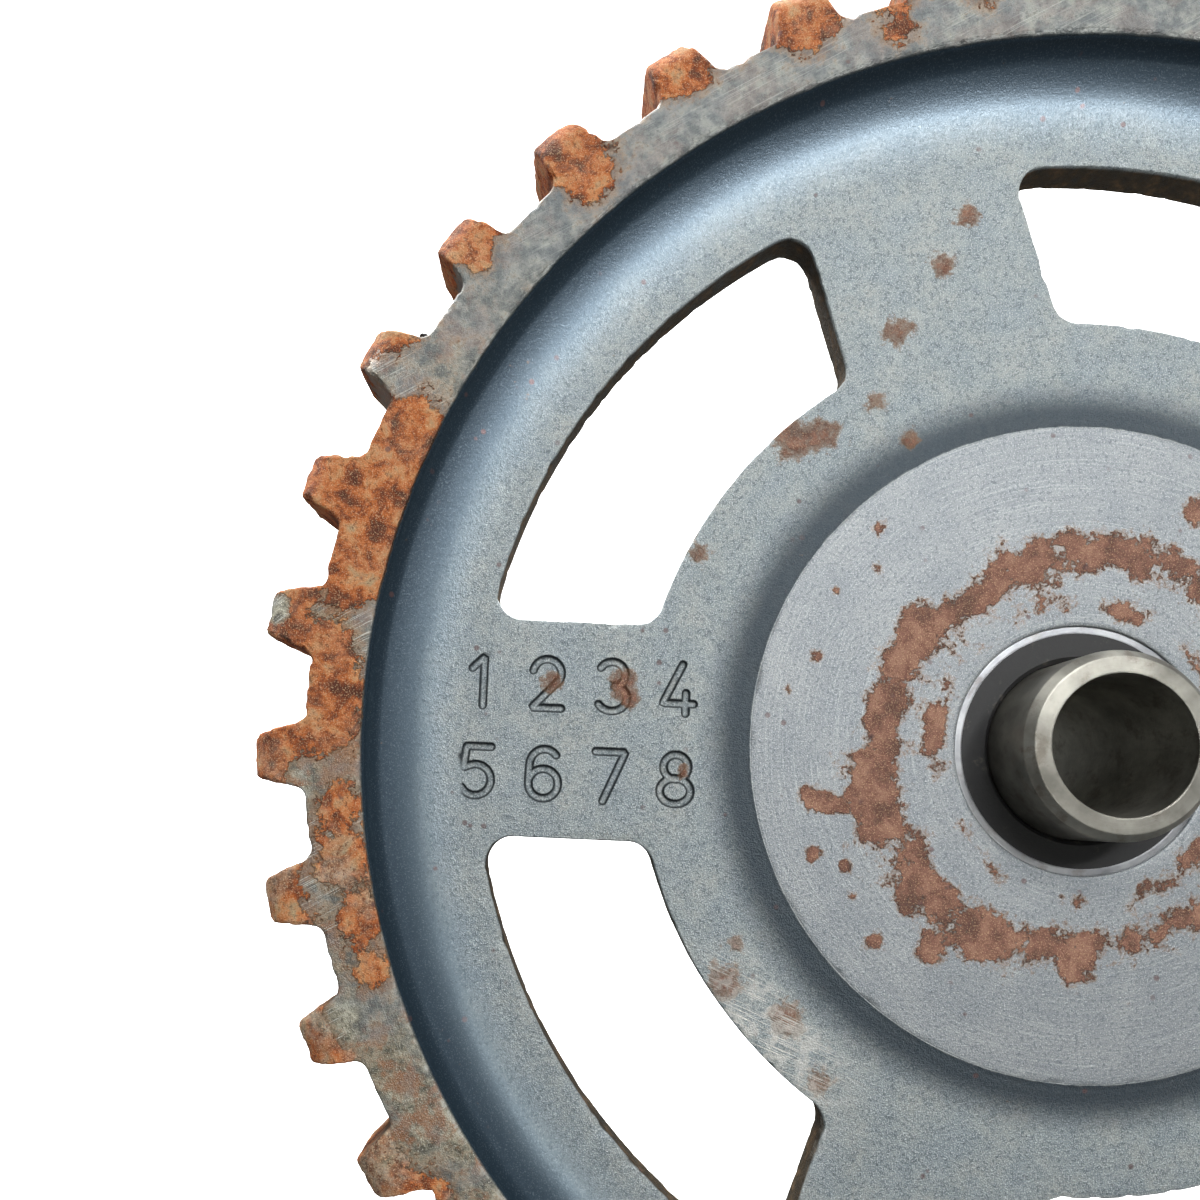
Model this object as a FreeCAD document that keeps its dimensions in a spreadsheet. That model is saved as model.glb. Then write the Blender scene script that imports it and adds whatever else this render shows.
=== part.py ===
import FreeCAD, Part
import Sketcher
import math
import os

# Rear sprocket with its carrier hub, bearing and axle sleeve.
# Millimetres. The axle lies along Y, the face seen from outside looks along -Y, and +Z is up.
# Y = 0 is the chain line, the middle of the tooth width. Angles run from +X towards +Z.

Vector = FreeCAD.Vector
Placement = FreeCAD.Placement
Rotation = FreeCAD.Rotation

TOOTH_COUNT = 36
SPOKE_COUNT = 5
BALL_COUNT = 8
SCREW_COUNT = 5
DOWEL_ANGLES = (0.0, 2 * 360.0 / SPOKE_COUNT)

# ---------------------------------------------------------------- driving dimensions
CHAIN_PITCH = 15.875
ROLLER_DIAMETER = 10.16
PITCH_RADIUS = CHAIN_PITCH / 2 / math.sin(math.pi / TOOTH_COUNT)

DIMENSIONS = {
    # how far a cutting shape reaches past what it cuts
    "overcut": 1.0,
    # toothed rim
    "tooth_width": 8.9,
    "root_radius": PITCH_RADIUS - ROLLER_DIAMETER / 2,
    "tooth_height": 5.94,
    "relief_height": 3.6,
    "relief_depth": 1.9,
    "gap_mouth_half": 6.1,
    "gap_flank_angle": 18.3,
    "gap_root_fillet": 1.4,
    "gap_phase": 135.43,
    # body of the disc
    "rim_inner_radius": 80.2,
    "rim_bevel": 0.55,
    "rim_cove_foot": 69.4,
    "web_recess": 4.3,
    "web_thickness": 3.6,
    "rim_back_inner": 76.0,
    "rim_back_slope": 1.6,
    "hub_cove_foot": 41.8,
    "hub_face_radius": 36.8,
    "hub_face_recess": 3.65,
    "pad_radius": 44.0,
    "pad_slope": 1.0,
    "pad_back": 7.6,
    # windows and spokes
    "window_outer_radius": 67.9,
    "window_inner_radius": 49.3,
    "window_corner": 3.0,
    "spoke_half_width": 12.4,
    "spoke_phase": 177.5,
    # carrier hub
    "pilot_radius": 27.0,
    "pilot_clearance": 0.05,
    "pilot_floor": 5.1,
    "pilot_gap": 0.5,
    "flange_radius": 45.0,
    "flange_thickness": 10.0,
    "housing_radius": 29.0,
    "housing_back": 35.0,
    "housing_foot": 1.0,
    "housing_chamfer": 1.0,
    "dog_inner": 28.0,
    "dog_outer": 44.6,
    "dog_root_half": 7.0,
    "dog_tip_half": 5.5,
    "dog_back": 30.0,
    "dog_chamfer": 0.8,
    "o_ring_groove_floor": 27.1,
    "o_ring_groove_front": 30.6,
    "o_ring_groove_width": 2.8,
    "o_ring_section": 1.25,
    # screws, washers and dowels
    "screw_circle": 37.0,
    "screw_radius": 3.0,
    "screw_fit": 0.05,
    "screw_hole_radius": 3.3,
    "screw_tip": 0.8,
    "screw_head_radius": 5.0,
    "screw_head_height": 6.0,
    "socket_radius": 2.887,
    "socket_depth": 3.0,
    "counterbore_radius": 6.1,
    "counterbore_depth": 7.7,
    "washer_thickness": 1.6,
    "washer_outer": 5.8,
    "washer_slit": 0.7,
    "dowel_radius": 3.0,
    "dowel_length": 10.0,
    # bearing
    "bearing_front": 9.0,
    "bearing_width": 14.0,
    "bearing_bore": 10.0,
    "bearing_outside": 23.5,
    "inner_shoulder": 13.9,
    "outer_shoulder": 19.6,
    "ball_circle": 16.75,
    "ball_radius": 3.9,
    "race_radius": 4.1,
    "race_chamfer": 0.6,
    "shield_seat": 20.2,
    "shield_seat_depth": 1.2,
    "shield_inner": 14.4,
    "shield_thickness": 0.5,
    "shield_setback": 0.4,
    "cage_inner": 15.7,
    "cage_outer": 17.8,
    "cage_sheet": 0.7,
    "cage_ball_gap": 0.22,
    "rivet_radius": 0.5,
    "rivet_head_radius": 0.9,
    "rivet_head_height": 0.35,
    # circlips
    "housing_clip_outer": 24.75,
    "housing_clip_inner": 21.9,
    "housing_clip_thickness": 1.75,
    "sleeve_clip_inner": 9.3,
    "sleeve_clip_outer": 11.7,
    "sleeve_clip_thickness": 1.2,
    "clip_groove_play": 0.05,
    "clip_gap_half": 2.4,
    "clip_lug_radius": 2.0,
    "clip_hole_radius": 0.9,
    # axle sleeve
    "sleeve_bore": 7.5,
    "sleeve_radius": 10.0,
    "sleeve_front": -8.0,
    "sleeve_back": 35.0,
    "sleeve_flange": 13.2,
    "sleeve_chamfer": 0.8,
    # dust seal
    "seal_radius": 14.0,
    "seal_stop_radius": 12.2,
    "seal_floor": 4.5,
    "seal_case_wall": 0.8,
    "seal_front_gap": 0.3,
    "seal_shaft_gap": 0.1,
    "seal_web": 1.5,
    "dust_edge": 0.45,
    "dust_back": 1.0,
    "lip_root": 2.2,
    "lip_edge": 3.2,
    "lip_back": 4.2,
    "lip_lift": 0.5,
    "lip_neck": 1.2,
    "lip_thickness": 1.4,
    "spring_groove_depth": 0.4,
    "spring_groove_half": 0.5,
    "seal_spring_circle": 12.15,
    "seal_spring_section": 0.55,
}


def cove_knee(dims, gentle_turn=25.0, steep_turn=75.0):
    """Point where the outer cove's wide arc meets its tight one, and the two radii.

    The wide arc leaves the web tangentially and turns through gentle_turn; the tight one goes on
    to steep_turn, where it reaches the bevel of the rim."""
    span = dims["rim_inner_radius"] - dims["rim_bevel"] - dims["rim_cove_foot"]
    rise = dims["web_recess"] - dims["rim_bevel"]
    first, last = math.radians(gentle_turn), math.radians(steep_turn)
    run_wide, rise_wide = math.sin(first), 1 - math.cos(first)
    run_tight = math.sin(last) - math.sin(first)
    rise_tight = math.cos(first) - math.cos(last)
    tight = (rise * run_wide - span * rise_wide) / (rise_tight * run_wide - run_tight * rise_wide)
    wide = (span - tight * run_tight) / run_wide
    return {
        "cove_knee_radius": dims["rim_cove_foot"] + wide * run_wide,
        "cove_knee_rise": wide * rise_wide,
        "cove_wide_arc": wide,
        "cove_tight_arc": tight,
    }


def arc_through(run, rise):
    """Radius of the arc that leaves a flat tangentially and reaches this run and rise."""
    return (run ** 2 + rise ** 2) / (2 * rise)


DIMENSIONS.update(cove_knee(DIMENSIONS))
DIMENSIONS["hub_cove_arc"] = arc_through(
    DIMENSIONS["hub_cove_foot"] - DIMENSIONS["hub_face_radius"],
    DIMENSIONS["web_recess"] - DIMENSIONS["hub_face_recess"])
DIMENSIONS["relief_arc"] = arc_through(DIMENSIONS["relief_height"], DIMENSIONS["relief_depth"])

doc = FreeCAD.newDocument("RearSprocket")
sheet = doc.addObject("Spreadsheet::Sheet", "dims")
for row, (alias, number) in enumerate(DIMENSIONS.items(), start=1):
    sheet.set(f"A{row}", alias)
    sheet.set(f"B{row}", f"{number:.6f}")
    sheet.setAlias(f"B{row}", alias)
doc.recompute()


class Size:
    """A size from the sheet: its number, and the text by which an expression reads it."""

    def __init__(self, number, text):
        self.number = number
        self.text = text

    def joined(self, other, sign, number):
        other_text = other.text if isinstance(other, Size) else f"{other:.6f}"
        return Size(number, f"({self.text} {sign} {other_text})")

    def __add__(self, other):
        return self.joined(other, "+", self.number + plain(other))

    def __sub__(self, other):
        return self.joined(other, "-", self.number - plain(other))

    def __mul__(self, other):
        return self.joined(other, "*", self.number * plain(other))

    def __truediv__(self, other):
        return self.joined(other, "/", self.number / plain(other))

    def __neg__(self):
        return Size(-self.number, f"(0 - {self.text})")


def plain(value):
    return value.number if isinstance(value, Size) else value


def size(alias):
    return Size(DIMENSIONS[alias], f"dims.{alias}")


def bind(thing, **sizes):
    """Bind properties of an object to sizes from the sheet."""
    for name, value in sizes.items():
        thing.setExpression(name, value.text if isinstance(value, Size) else f"{value:.6f}")


nodes = {}


def keep(label, thing):
    """Name a finished sub-part."""
    thing.Label = label
    nodes[label] = thing
    return thing


# ---------------------------------------------------------------- sketches and bodies
def new_body(label):
    return keep(label, doc.addObject("PartDesign::Body", label))


def origin_feature(body, role):
    return next(feature for feature in body.Origin.OriginFeatures if feature.Role == role)


def new_sketch(body, name, plane="XY_Plane", turn=None, offset=None):
    """A sketch on a plane of the body's origin, turned in its plane and moved along Y."""
    sketch = body.newObject("Sketcher::SketchObject", f"{body.Name}_{name}")
    sketch.AttachmentSupport = [(origin_feature(body, plane), "")]
    sketch.MapMode = "FlatFace"
    if offset is not None:
        sketch.AttachmentOffset = Placement(Vector(0, 0, -plain(offset)), Rotation())
        sketch.setExpression(".AttachmentOffset.Base.z", (-offset).text)
    if turn is not None:
        base = sketch.AttachmentOffset.Base
        sketch.AttachmentOffset = Placement(base, Rotation(Vector(0, 0, 1), plain(turn)))
        sketch.setExpression(".AttachmentOffset.Rotation.Angle", f"{turn.text} * 1 deg")
    return sketch


def add_rule(sketch, rule, value=None):
    """Add a constraint, and bind it where it has a size."""
    index = sketch.addConstraint(rule)
    if isinstance(value, Size):
        sketch.setExpression(f"Constraints[{index}]", value.text)
    return index


def add_line(sketch, start, end):
    segment = Part.LineSegment(Vector(start[0], start[1], 0), Vector(end[0], end[1], 0))
    return sketch.addGeometry(segment, False)


def add_arc(sketch, centre, radius, start_angle, end_angle):
    circle = Part.Circle(Vector(centre[0], centre[1], 0), Vector(0, 0, 1), radius)
    return sketch.addGeometry(Part.ArcOfCircle(circle, start_angle, end_angle), False)


def arc_between(start, end, radius, bulge):
    """Centre of the arc from start to end; bulge +1 turns left on the way, -1 right."""
    middle = ((start[0] + end[0]) / 2, (start[1] + end[1]) / 2)
    chord = math.hypot(end[0] - start[0], end[1] - start[1])
    away = math.sqrt(max(radius ** 2 - chord ** 2 / 4, 0.0)) * bulge / chord
    return middle[0] - (end[1] - start[1]) * away, middle[1] + (end[0] - start[0]) * away


def outline(sketch, corners):
    """Closed outline. A corner is (x, y), or (x, y, radius, bulge) where an arc leaves it."""
    pieces = []
    for corner, following in zip(corners, corners[1:] + corners[:1]):
        start = (plain(corner[0]), plain(corner[1]))
        end = (plain(following[0]), plain(following[1]))
        if len(corner) == 2:
            pieces.append((add_line(sketch, start, end), 1, 2))
            continue
        radius, bulge = corner[2], corner[3]
        centre = arc_between(start, end, plain(radius), bulge)
        first = math.atan2(start[1] - centre[1], start[0] - centre[0])
        last = math.atan2(end[1] - centre[1], end[0] - centre[0])
        if bulge > 0:
            piece = (add_arc(sketch, centre, plain(radius), first, last), 1, 2)
        else:
            piece = (add_arc(sketch, centre, plain(radius), last, first), 2, 1)
        add_rule(sketch, Sketcher.Constraint("Radius", piece[0], plain(radius)), radius)
        pieces.append(piece)
    for piece, following, corner in zip(pieces, pieces[1:] + pieces[:1], corners[1:] + corners[:1]):
        add_rule(sketch, Sketcher.Constraint("Coincident", piece[0], piece[2], following[0], following[1]))
        for kind, value in (("DistanceX", corner[0]), ("DistanceY", corner[1])):
            rule = Sketcher.Constraint(kind, -1, 1, following[0], following[1], plain(value))
            add_rule(sketch, rule, value)


def turned(body, corners):
    """Revolve a section, given as radius and Y, about the axle."""
    sketch = new_sketch(body, "section")
    outline(sketch, corners)
    feature = body.newObject("PartDesign::Revolution", f"{body.Name}_turned")
    feature.Profile = sketch
    feature.ReferenceAxis = (sketch, ["V_Axis"])
    feature.Angle = 360
    body.Tip = feature
    return feature


def turned_body(label, corners):
    body = new_body(label)
    turned(body, corners)
    return body


def cut_through(body, sketch):
    feature = body.newObject("PartDesign::Pocket", f"{sketch.Name}_cut")
    feature.Profile = sketch
    feature.SideType = "Symmetric"
    feature.Type = "ThroughAll"
    body.Tip = feature
    return feature


def cut_blind(body, sketch, depth, towards_front):
    feature = body.newObject("PartDesign::Pocket", f"{sketch.Name}_cut")
    feature.Profile = sketch
    feature.Type = "Length"
    feature.Reversed = towards_front
    bind(feature, Length=depth)
    body.Tip = feature
    return feature


def repeat(body, feature, count):
    """Repeat a feature evenly round the axle."""
    pattern = body.newObject("PartDesign::PolarPattern", f"{feature.Name}_round")
    pattern.Originals = [feature]
    pattern.Axis = (origin_feature(body, "Y_Axis"), [""])
    pattern.Angle = 360
    pattern.Occurrences = count
    body.Tip = pattern
    return pattern


def circle_at(sketch, radius, distance, degrees=0.0):
    """A circle of the sketch at a distance from the axle and an angle round it."""
    angle = math.radians(degrees)
    centre = Vector(plain(distance) * math.cos(angle), plain(distance) * math.sin(angle), 0)
    index = sketch.addGeometry(Part.Circle(centre, Vector(0, 0, 1), plain(radius)), False)
    add_rule(sketch, Sketcher.Constraint("Radius", index, plain(radius)), radius)
    across, up = distance * math.cos(angle), distance * math.sin(angle)
    add_rule(sketch, Sketcher.Constraint("DistanceX", -1, 1, index, 3, plain(across)), across)
    add_rule(sketch, Sketcher.Constraint("DistanceY", -1, 1, index, 3, plain(up)), up)


# ---------------------------------------------------------------- Part primitives round the axle
NOTHING = Size(0.0, "0")


def place(thing, distance=NOTHING, angle=NOTHING, along=NOTHING):
    """Stand a primitive along +Y, at a distance from the axle, an angle round it and a Y."""
    facing = Rotation(Vector(0, 1, 0), -angle.number).multiply(Rotation(Vector(1, 0, 0), -90))
    across = distance.number * math.cos(math.radians(angle.number))
    up = distance.number * math.sin(math.radians(angle.number))
    thing.Placement = Placement(Vector(across, along.number, up), facing)
    thing.setExpression(".Placement.Base.x", f"{distance.text} * cos({angle.text} * 1 deg)")
    thing.setExpression(".Placement.Base.y", along.text)
    thing.setExpression(".Placement.Base.z", f"{distance.text} * sin({angle.text} * 1 deg)")
    return thing


def cylinder(name, radius, length, **where):
    thing = doc.addObject("Part::Cylinder", name)
    bind(thing, Radius=radius, Height=length)
    return place(thing, **where)


def sphere(name, radius, **where):
    thing = doc.addObject("Part::Sphere", name)
    bind(thing, Radius=radius)
    return place(thing, **where)


def torus(name, circle, section, **where):
    thing = doc.addObject("Part::Torus", name)
    bind(thing, Radius1=circle, Radius2=section)
    return place(thing, **where)


def cut(name, base, tool):
    thing = doc.addObject("Part::Cut", name)
    thing.Base, thing.Tool = base, tool
    return thing


def common(name, base, tool):
    thing = doc.addObject("Part::Common", name)
    thing.Base, thing.Tool = base, tool
    return thing


def fuse(name, things):
    thing = doc.addObject("Part::MultiFuse", name)
    thing.Shapes = things
    return thing


def group(name, things):
    """Separate solids kept together as one sub-part."""
    thing = doc.addObject("Part::Compound", name)
    thing.Links = things
    return thing


def tube(name, inner, outer, length, **where):
    wall = cylinder(f"{name}_outside", outer, length, **where)
    hole = cylinder(f"{name}_hole", inner, length, **where)
    return cut(name, wall, hole)


# ---------------------------------------------------------------- positions along the axle
rim_front = -(size("tooth_width") / 2)
rim_back = size("tooth_width") / 2
web_front = rim_front + size("web_recess")
web_back = web_front + size("web_thickness")
hub_front = rim_front + size("hub_face_recess")
tip_radius = size("root_radius") + size("tooth_height")
flange_back = size("pad_back") + size("flange_thickness")
bearing_back = size("bearing_front") + size("bearing_width")
bearing_middle = size("bearing_front") + size("bearing_width") / 2
housing_clip_front = bearing_back + size("clip_groove_play")
washer_seat = flange_back - size("counterbore_depth")
screw_seat = washer_seat + size("washer_thickness")
spoke_phase = size("spoke_phase")
window_phase = spoke_phase - 180.0 / SPOKE_COUNT


# ---------------------------------------------------------------- toothed disc
def sprocket_section():
    """Half section: hub face, inner cove, web, outer cove, rim with relieved teeth, back."""
    relief_start = tip_radius - size("relief_height")
    relief = size("relief_arc")
    bevel = size("rim_bevel")
    return [
        (size("seal_radius"), hub_front),
        (size("hub_face_radius"), hub_front, size("hub_cove_arc"), -1),
        (size("hub_cove_foot"), web_front),
        (size("rim_cove_foot"), web_front, size("cove_wide_arc"), -1),
        (size("cove_knee_radius"), web_front - size("cove_knee_rise"), size("cove_tight_arc"), -1),
        (size("rim_inner_radius") - bevel, rim_front + bevel),
        (size("rim_inner_radius"), rim_front),
        (relief_start, rim_front, relief, 1),
        (tip_radius, rim_front + size("relief_depth")),
        (tip_radius, rim_back - size("relief_depth"), relief, 1),
        (relief_start, rim_back),
        (size("rim_back_inner"), rim_back),
        (size("rim_back_inner") - size("rim_back_slope"), web_back),
        (size("pad_radius") + size("pad_slope"), web_back),
        (size("pad_radius"), size("pad_back")),
        (size("pilot_radius") + size("pilot_clearance"), size("pad_back")),
        (size("pilot_radius") + size("pilot_clearance"), size("pilot_floor")),
        (size("seal_stop_radius"), size("pilot_floor")),
        (size("seal_stop_radius"), size("seal_floor")),
        (size("seal_radius"), size("seal_floor")),
    ]


def fix_round(sketch, index, radius):
    """An arc about the axle with a radius from the sheet."""
    add_rule(sketch, Sketcher.Constraint("Coincident", index, 3, -1, 1))
    add_rule(sketch, Sketcher.Constraint("Radius", index, plain(radius)), radius)


def touch(sketch, piece, end, following, start):
    add_rule(sketch, Sketcher.Constraint("Tangent", piece, end, following, start))


def tooth_gap(sketch):
    """Gap between two teeth: flat floor on the root circle, two fillets and two flanks."""
    floor = size("root_radius")
    fillet = size("gap_root_fillet")
    mouth = (tip_radius + size("overcut"), size("gap_mouth_half"))
    slope = math.radians(plain(size("gap_flank_angle")))
    inward = (-math.cos(slope), -math.sin(slope))
    # the fillet lies inside the gap, on the axis side of the upper flank
    top = (plain(mouth[0]), plain(mouth[1]))
    normal = (-inward[1], inward[0])
    base = (top[0] + normal[0] * plain(fillet), top[1] + normal[1] * plain(fillet))
    along = base[0] * inward[0] + base[1] * inward[1]
    target = (plain(floor) + plain(fillet)) ** 2
    reach = -along - math.sqrt(along ** 2 - (base[0] ** 2 + base[1] ** 2) + target)
    centre = (base[0] + inward[0] * reach, base[1] + inward[1] * reach)
    on_flank = (centre[0] - normal[0] * plain(fillet), centre[1] - normal[1] * plain(fillet))
    around = math.atan2(centre[1], centre[0])
    flank_side = math.atan2(on_flank[1] - centre[1], on_flank[0] - centre[0])

    floor_arc = add_arc(sketch, (0, 0), plain(floor), -around, around)
    upper = add_arc(sketch, centre, plain(fillet), flank_side, around + math.pi)
    upper_flank = add_line(sketch, on_flank, top)
    closing = add_line(sketch, top, (top[0], -top[1]))
    lower_flank = add_line(sketch, (top[0], -top[1]), (on_flank[0], -on_flank[1]))
    lower = add_arc(sketch, (centre[0], -centre[1]), plain(fillet), math.pi - around, -flank_side)

    fix_round(sketch, floor_arc, floor)
    add_rule(sketch, Sketcher.Constraint("Radius", upper, plain(fillet)), fillet)
    touch(sketch, floor_arc, 2, upper, 2)
    touch(sketch, upper, 1, upper_flank, 1)
    add_rule(sketch, Sketcher.Constraint("Coincident", upper_flank, 2, closing, 1))
    add_rule(sketch, Sketcher.Constraint("Coincident", closing, 2, lower_flank, 1))
    touch(sketch, lower_flank, 2, lower, 2)
    touch(sketch, lower, 1, floor_arc, 1)
    add_rule(sketch, Sketcher.Constraint("Angle", upper_flank, slope), size("gap_flank_angle"))
    add_rule(sketch, Sketcher.Constraint("DistanceX", -1, 1, upper_flank, 2, top[0]), mouth[0])
    add_rule(sketch, Sketcher.Constraint("DistanceY", -1, 1, upper_flank, 2, top[1]), mouth[1])
    add_rule(sketch, Sketcher.Constraint("Symmetric", upper_flank, 2, lower_flank, 1, -1))
    add_rule(sketch, Sketcher.Constraint("Symmetric", upper_flank, 1, lower_flank, 2, -1))


def window(sketch):
    """Window between two parallel-sided spokes, with its middle on the sketch's X axis."""
    outer, inner = size("window_outer_radius"), size("window_inner_radius")
    corner, half = size("window_corner"), size("spoke_half_width")
    lean = math.pi / SPOKE_COUNT
    along = (math.cos(lean), math.sin(lean))
    inwards = (math.sin(lean), -math.cos(lean))

    def spot(distance, aside):
        return (along[0] * distance + inwards[0] * aside, along[1] * distance + inwards[1] * aside)

    aside = plain(half) + plain(corner)
    far = math.sqrt((plain(outer) - plain(corner)) ** 2 - aside ** 2)
    near = math.sqrt((plain(inner) + plain(corner)) ** 2 - aside ** 2)
    outer_centre, inner_centre = spot(far, aside), spot(near, aside)
    outer_turn = math.atan2(outer_centre[1], outer_centre[0])
    inner_turn = math.atan2(inner_centre[1], inner_centre[0])
    to_side = lean + math.pi / 2
    to_hub = inner_turn + math.pi

    top = add_arc(sketch, (0, 0), plain(outer), -outer_turn, outer_turn)
    left_out = add_arc(sketch, outer_centre, plain(corner), outer_turn, to_side)
    left = add_line(sketch, spot(far, plain(half)), spot(near, plain(half)))
    left_in = add_arc(sketch, inner_centre, plain(corner), to_side, to_hub)
    bottom = add_arc(sketch, (0, 0), plain(inner), -inner_turn, inner_turn)
    low_inner, low_outer = (inner_centre[0], -inner_centre[1]), (outer_centre[0], -outer_centre[1])
    right_in = add_arc(sketch, low_inner, plain(corner), -to_hub, -to_side)
    start, end = spot(near, plain(half)), spot(far, plain(half))
    right = add_line(sketch, (start[0], -start[1]), (end[0], -end[1]))
    right_out = add_arc(sketch, low_outer, plain(corner), -to_side, -outer_turn)

    fix_round(sketch, top, outer)
    fix_round(sketch, bottom, inner)
    for index in (left_out, left_in, right_in, right_out):
        add_rule(sketch, Sketcher.Constraint("Radius", index, plain(corner)), corner)
    touch(sketch, top, 2, left_out, 1)
    touch(sketch, left_out, 2, left, 1)
    touch(sketch, left, 2, left_in, 1)
    touch(sketch, left_in, 2, bottom, 2)
    touch(sketch, bottom, 1, right_in, 1)
    touch(sketch, right_in, 2, right, 1)
    touch(sketch, right, 2, right_out, 1)
    touch(sketch, right_out, 2, top, 1)
    for side in (left, right):
        add_rule(sketch, Sketcher.Constraint("Distance", -1, 1, side, plain(half)), half)
    add_rule(sketch, Sketcher.Constraint("Angle", left, lean - math.pi))
    add_rule(sketch, Sketcher.Constraint("Angle", right, -lean))


def make_sprocket_disc():
    body = new_body("sprocket_disc")
    turned(body, sprocket_section())

    gap = new_sketch(body, "tooth_gap", "XZ_Plane", turn=size("gap_phase"))
    tooth_gap(gap)
    repeat(body, cut_through(body, gap), TOOTH_COUNT)

    opening = new_sketch(body, "window", "XZ_Plane", turn=window_phase)
    window(opening)
    repeat(body, cut_through(body, opening), SPOKE_COUNT)

    tapping = new_sketch(body, "tapping", "XZ_Plane", turn=window_phase, offset=size("pad_back"))
    circle_at(tapping, size("screw_radius") + size("screw_fit"), size("screw_circle"))
    depth = size("pad_back") - size("screw_tip") + size("screw_fit")
    repeat(body, cut_blind(body, tapping, depth, True), SCREW_COUNT)

    dowels = new_sketch(body, "dowels", "XZ_Plane", turn=spoke_phase, offset=size("pad_back"))
    for degrees in DOWEL_ANGLES:
        circle_at(dowels, size("dowel_radius"), size("screw_circle"), degrees)
    cut_blind(body, dowels, size("dowel_length") / 2, True)


# ---------------------------------------------------------------- carrier hub
def carrier_section():
    """Half section: pilot, flange, bearing housing with O-ring and circlip grooves."""
    groove_back = size("o_ring_groove_front") + size("o_ring_groove_width")
    clip_back = bearing_back + size("housing_clip_thickness") + size("clip_groove_play") * 2
    lip = size("outer_shoulder")
    return [
        (lip, size("pilot_floor") + size("pilot_gap")),
        (size("pilot_radius"), size("pilot_floor") + size("pilot_gap")),
        (size("pilot_radius"), size("pad_back")),
        (size("flange_radius"), size("pad_back")),
        (size("flange_radius"), flange_back),
        (size("housing_radius") + size("housing_foot"), flange_back, size("housing_foot"), -1),
        (size("housing_radius"), flange_back + size("housing_foot")),
        (size("housing_radius"), size("o_ring_groove_front")),
        (size("o_ring_groove_floor"), size("o_ring_groove_front")),
        (size("o_ring_groove_floor"), groove_back),
        (size("housing_radius"), groove_back),
        (size("housing_radius"), size("housing_back") - size("housing_chamfer")),
        (size("housing_radius") - size("housing_chamfer"), size("housing_back")),
        (size("bearing_outside"), size("housing_back")),
        (size("bearing_outside"), clip_back),
        (size("housing_clip_outer"), clip_back),
        (size("housing_clip_outer"), bearing_back),
        (size("bearing_outside"), bearing_back),
        (size("bearing_outside"), size("bearing_front")),
        (lip, size("bearing_front")),
    ]


def driving_dogs(body):
    """Five driving dogs on the back of the flange, chamfered at their outer top edge."""
    sketch = new_sketch(body, "dog", "XZ_Plane", turn=spoke_phase, offset=size("pad_back"))
    outline(sketch, [
        (size("dog_inner"), -size("dog_root_half")),
        (size("dog_outer"), -size("dog_tip_half")),
        (size("dog_outer"), size("dog_tip_half")),
        (size("dog_inner"), size("dog_root_half")),
    ])
    dog = body.newObject("PartDesign::Pad", "dog")
    dog.Profile = sketch
    dog.Reversed = True
    bind(dog, Length=size("dog_back") - size("pad_back"))
    body.Tip = dog
    repeat(body, dog, SPOKE_COUNT)

    edge = new_sketch(body, "dog_edge")
    run, beyond = size("dog_chamfer"), size("dog_outer") + size("overcut")
    outline(edge, [
        (size("dog_outer") - run, size("dog_back")),
        (beyond, size("dog_back")),
        (beyond, size("dog_back") - run - size("overcut")),
    ])
    chamfer = body.newObject("PartDesign::Groove", "dog_chamfer")
    chamfer.Profile = edge
    chamfer.ReferenceAxis = (edge, ["V_Axis"])
    chamfer.Angle = 360
    body.Tip = chamfer


def make_driver_hub():
    body = new_body("driver_hub")
    turned(body, carrier_section())
    driving_dogs(body)

    holes = new_sketch(body, "screw_hole", "XZ_Plane", turn=window_phase, offset=size("pad_back"))
    circle_at(holes, size("screw_hole_radius"), size("screw_circle"))
    depth = size("flange_thickness") + size("overcut")
    repeat(body, cut_blind(body, holes, depth, False), SCREW_COUNT)

    recess = new_sketch(body, "counterbore", "XZ_Plane", turn=window_phase, offset=flange_back)
    circle_at(recess, size("counterbore_radius"), size("screw_circle"))
    repeat(body, cut_blind(body, recess, size("counterbore_depth"), True), SCREW_COUNT)

    dowels = new_sketch(body, "dowel_hole", "XZ_Plane", turn=spoke_phase, offset=size("pad_back"))
    for degrees in DOWEL_ANGLES:
        circle_at(dowels, size("dowel_radius"), size("screw_circle"), degrees)
    cut_blind(body, dowels, size("dowel_length") / 2, False)


# ---------------------------------------------------------------- fasteners
def screw_angle(index):
    return window_phase + index * 360.0 / SCREW_COUNT


def make_screws():
    screws = []
    for index in range(SCREW_COUNT):
        where = {"distance": size("screw_circle"), "angle": screw_angle(index)}
        shank = cylinder(f"shank_{index}", size("screw_radius"), screw_seat - size("screw_tip"),
                         along=size("screw_tip"), **where)
        head = cylinder(f"head_{index}", size("screw_head_radius"), size("screw_head_height"),
                        along=screw_seat, **where)
        socket = doc.addObject("Part::Prism", f"socket_{index}")
        socket.Polygon = 6
        bind(socket, Circumradius=size("socket_radius"), Height=size("socket_depth") + size("overcut"))
        floor = screw_seat + size("screw_head_height") - size("socket_depth")
        place(socket, along=floor, **where)
        screws.append(cut(f"screw_{index}", fuse(f"blank_{index}", [shank, head]), socket))
    keep("carrier_screws", group("screw_set", screws))


def make_lock_washers():
    washers = []
    for index in range(SCREW_COUNT):
        where = {"distance": size("screw_circle"), "angle": screw_angle(index), "along": washer_seat}
        ring = tube(f"washer_ring_{index}", size("screw_hole_radius"), size("washer_outer"),
                    size("washer_thickness"), **where)
        slit = doc.addObject("Part::Box", f"slit_{index}")
        bind(slit, Length=size("washer_outer") + size("overcut"), Width=size("washer_slit"),
             Height=size("washer_thickness"))
        washers.append(cut(f"washer_{index}", ring, place(slit, **where)))
    keep("carrier_lock_washers", group("washer_set", washers))


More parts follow.
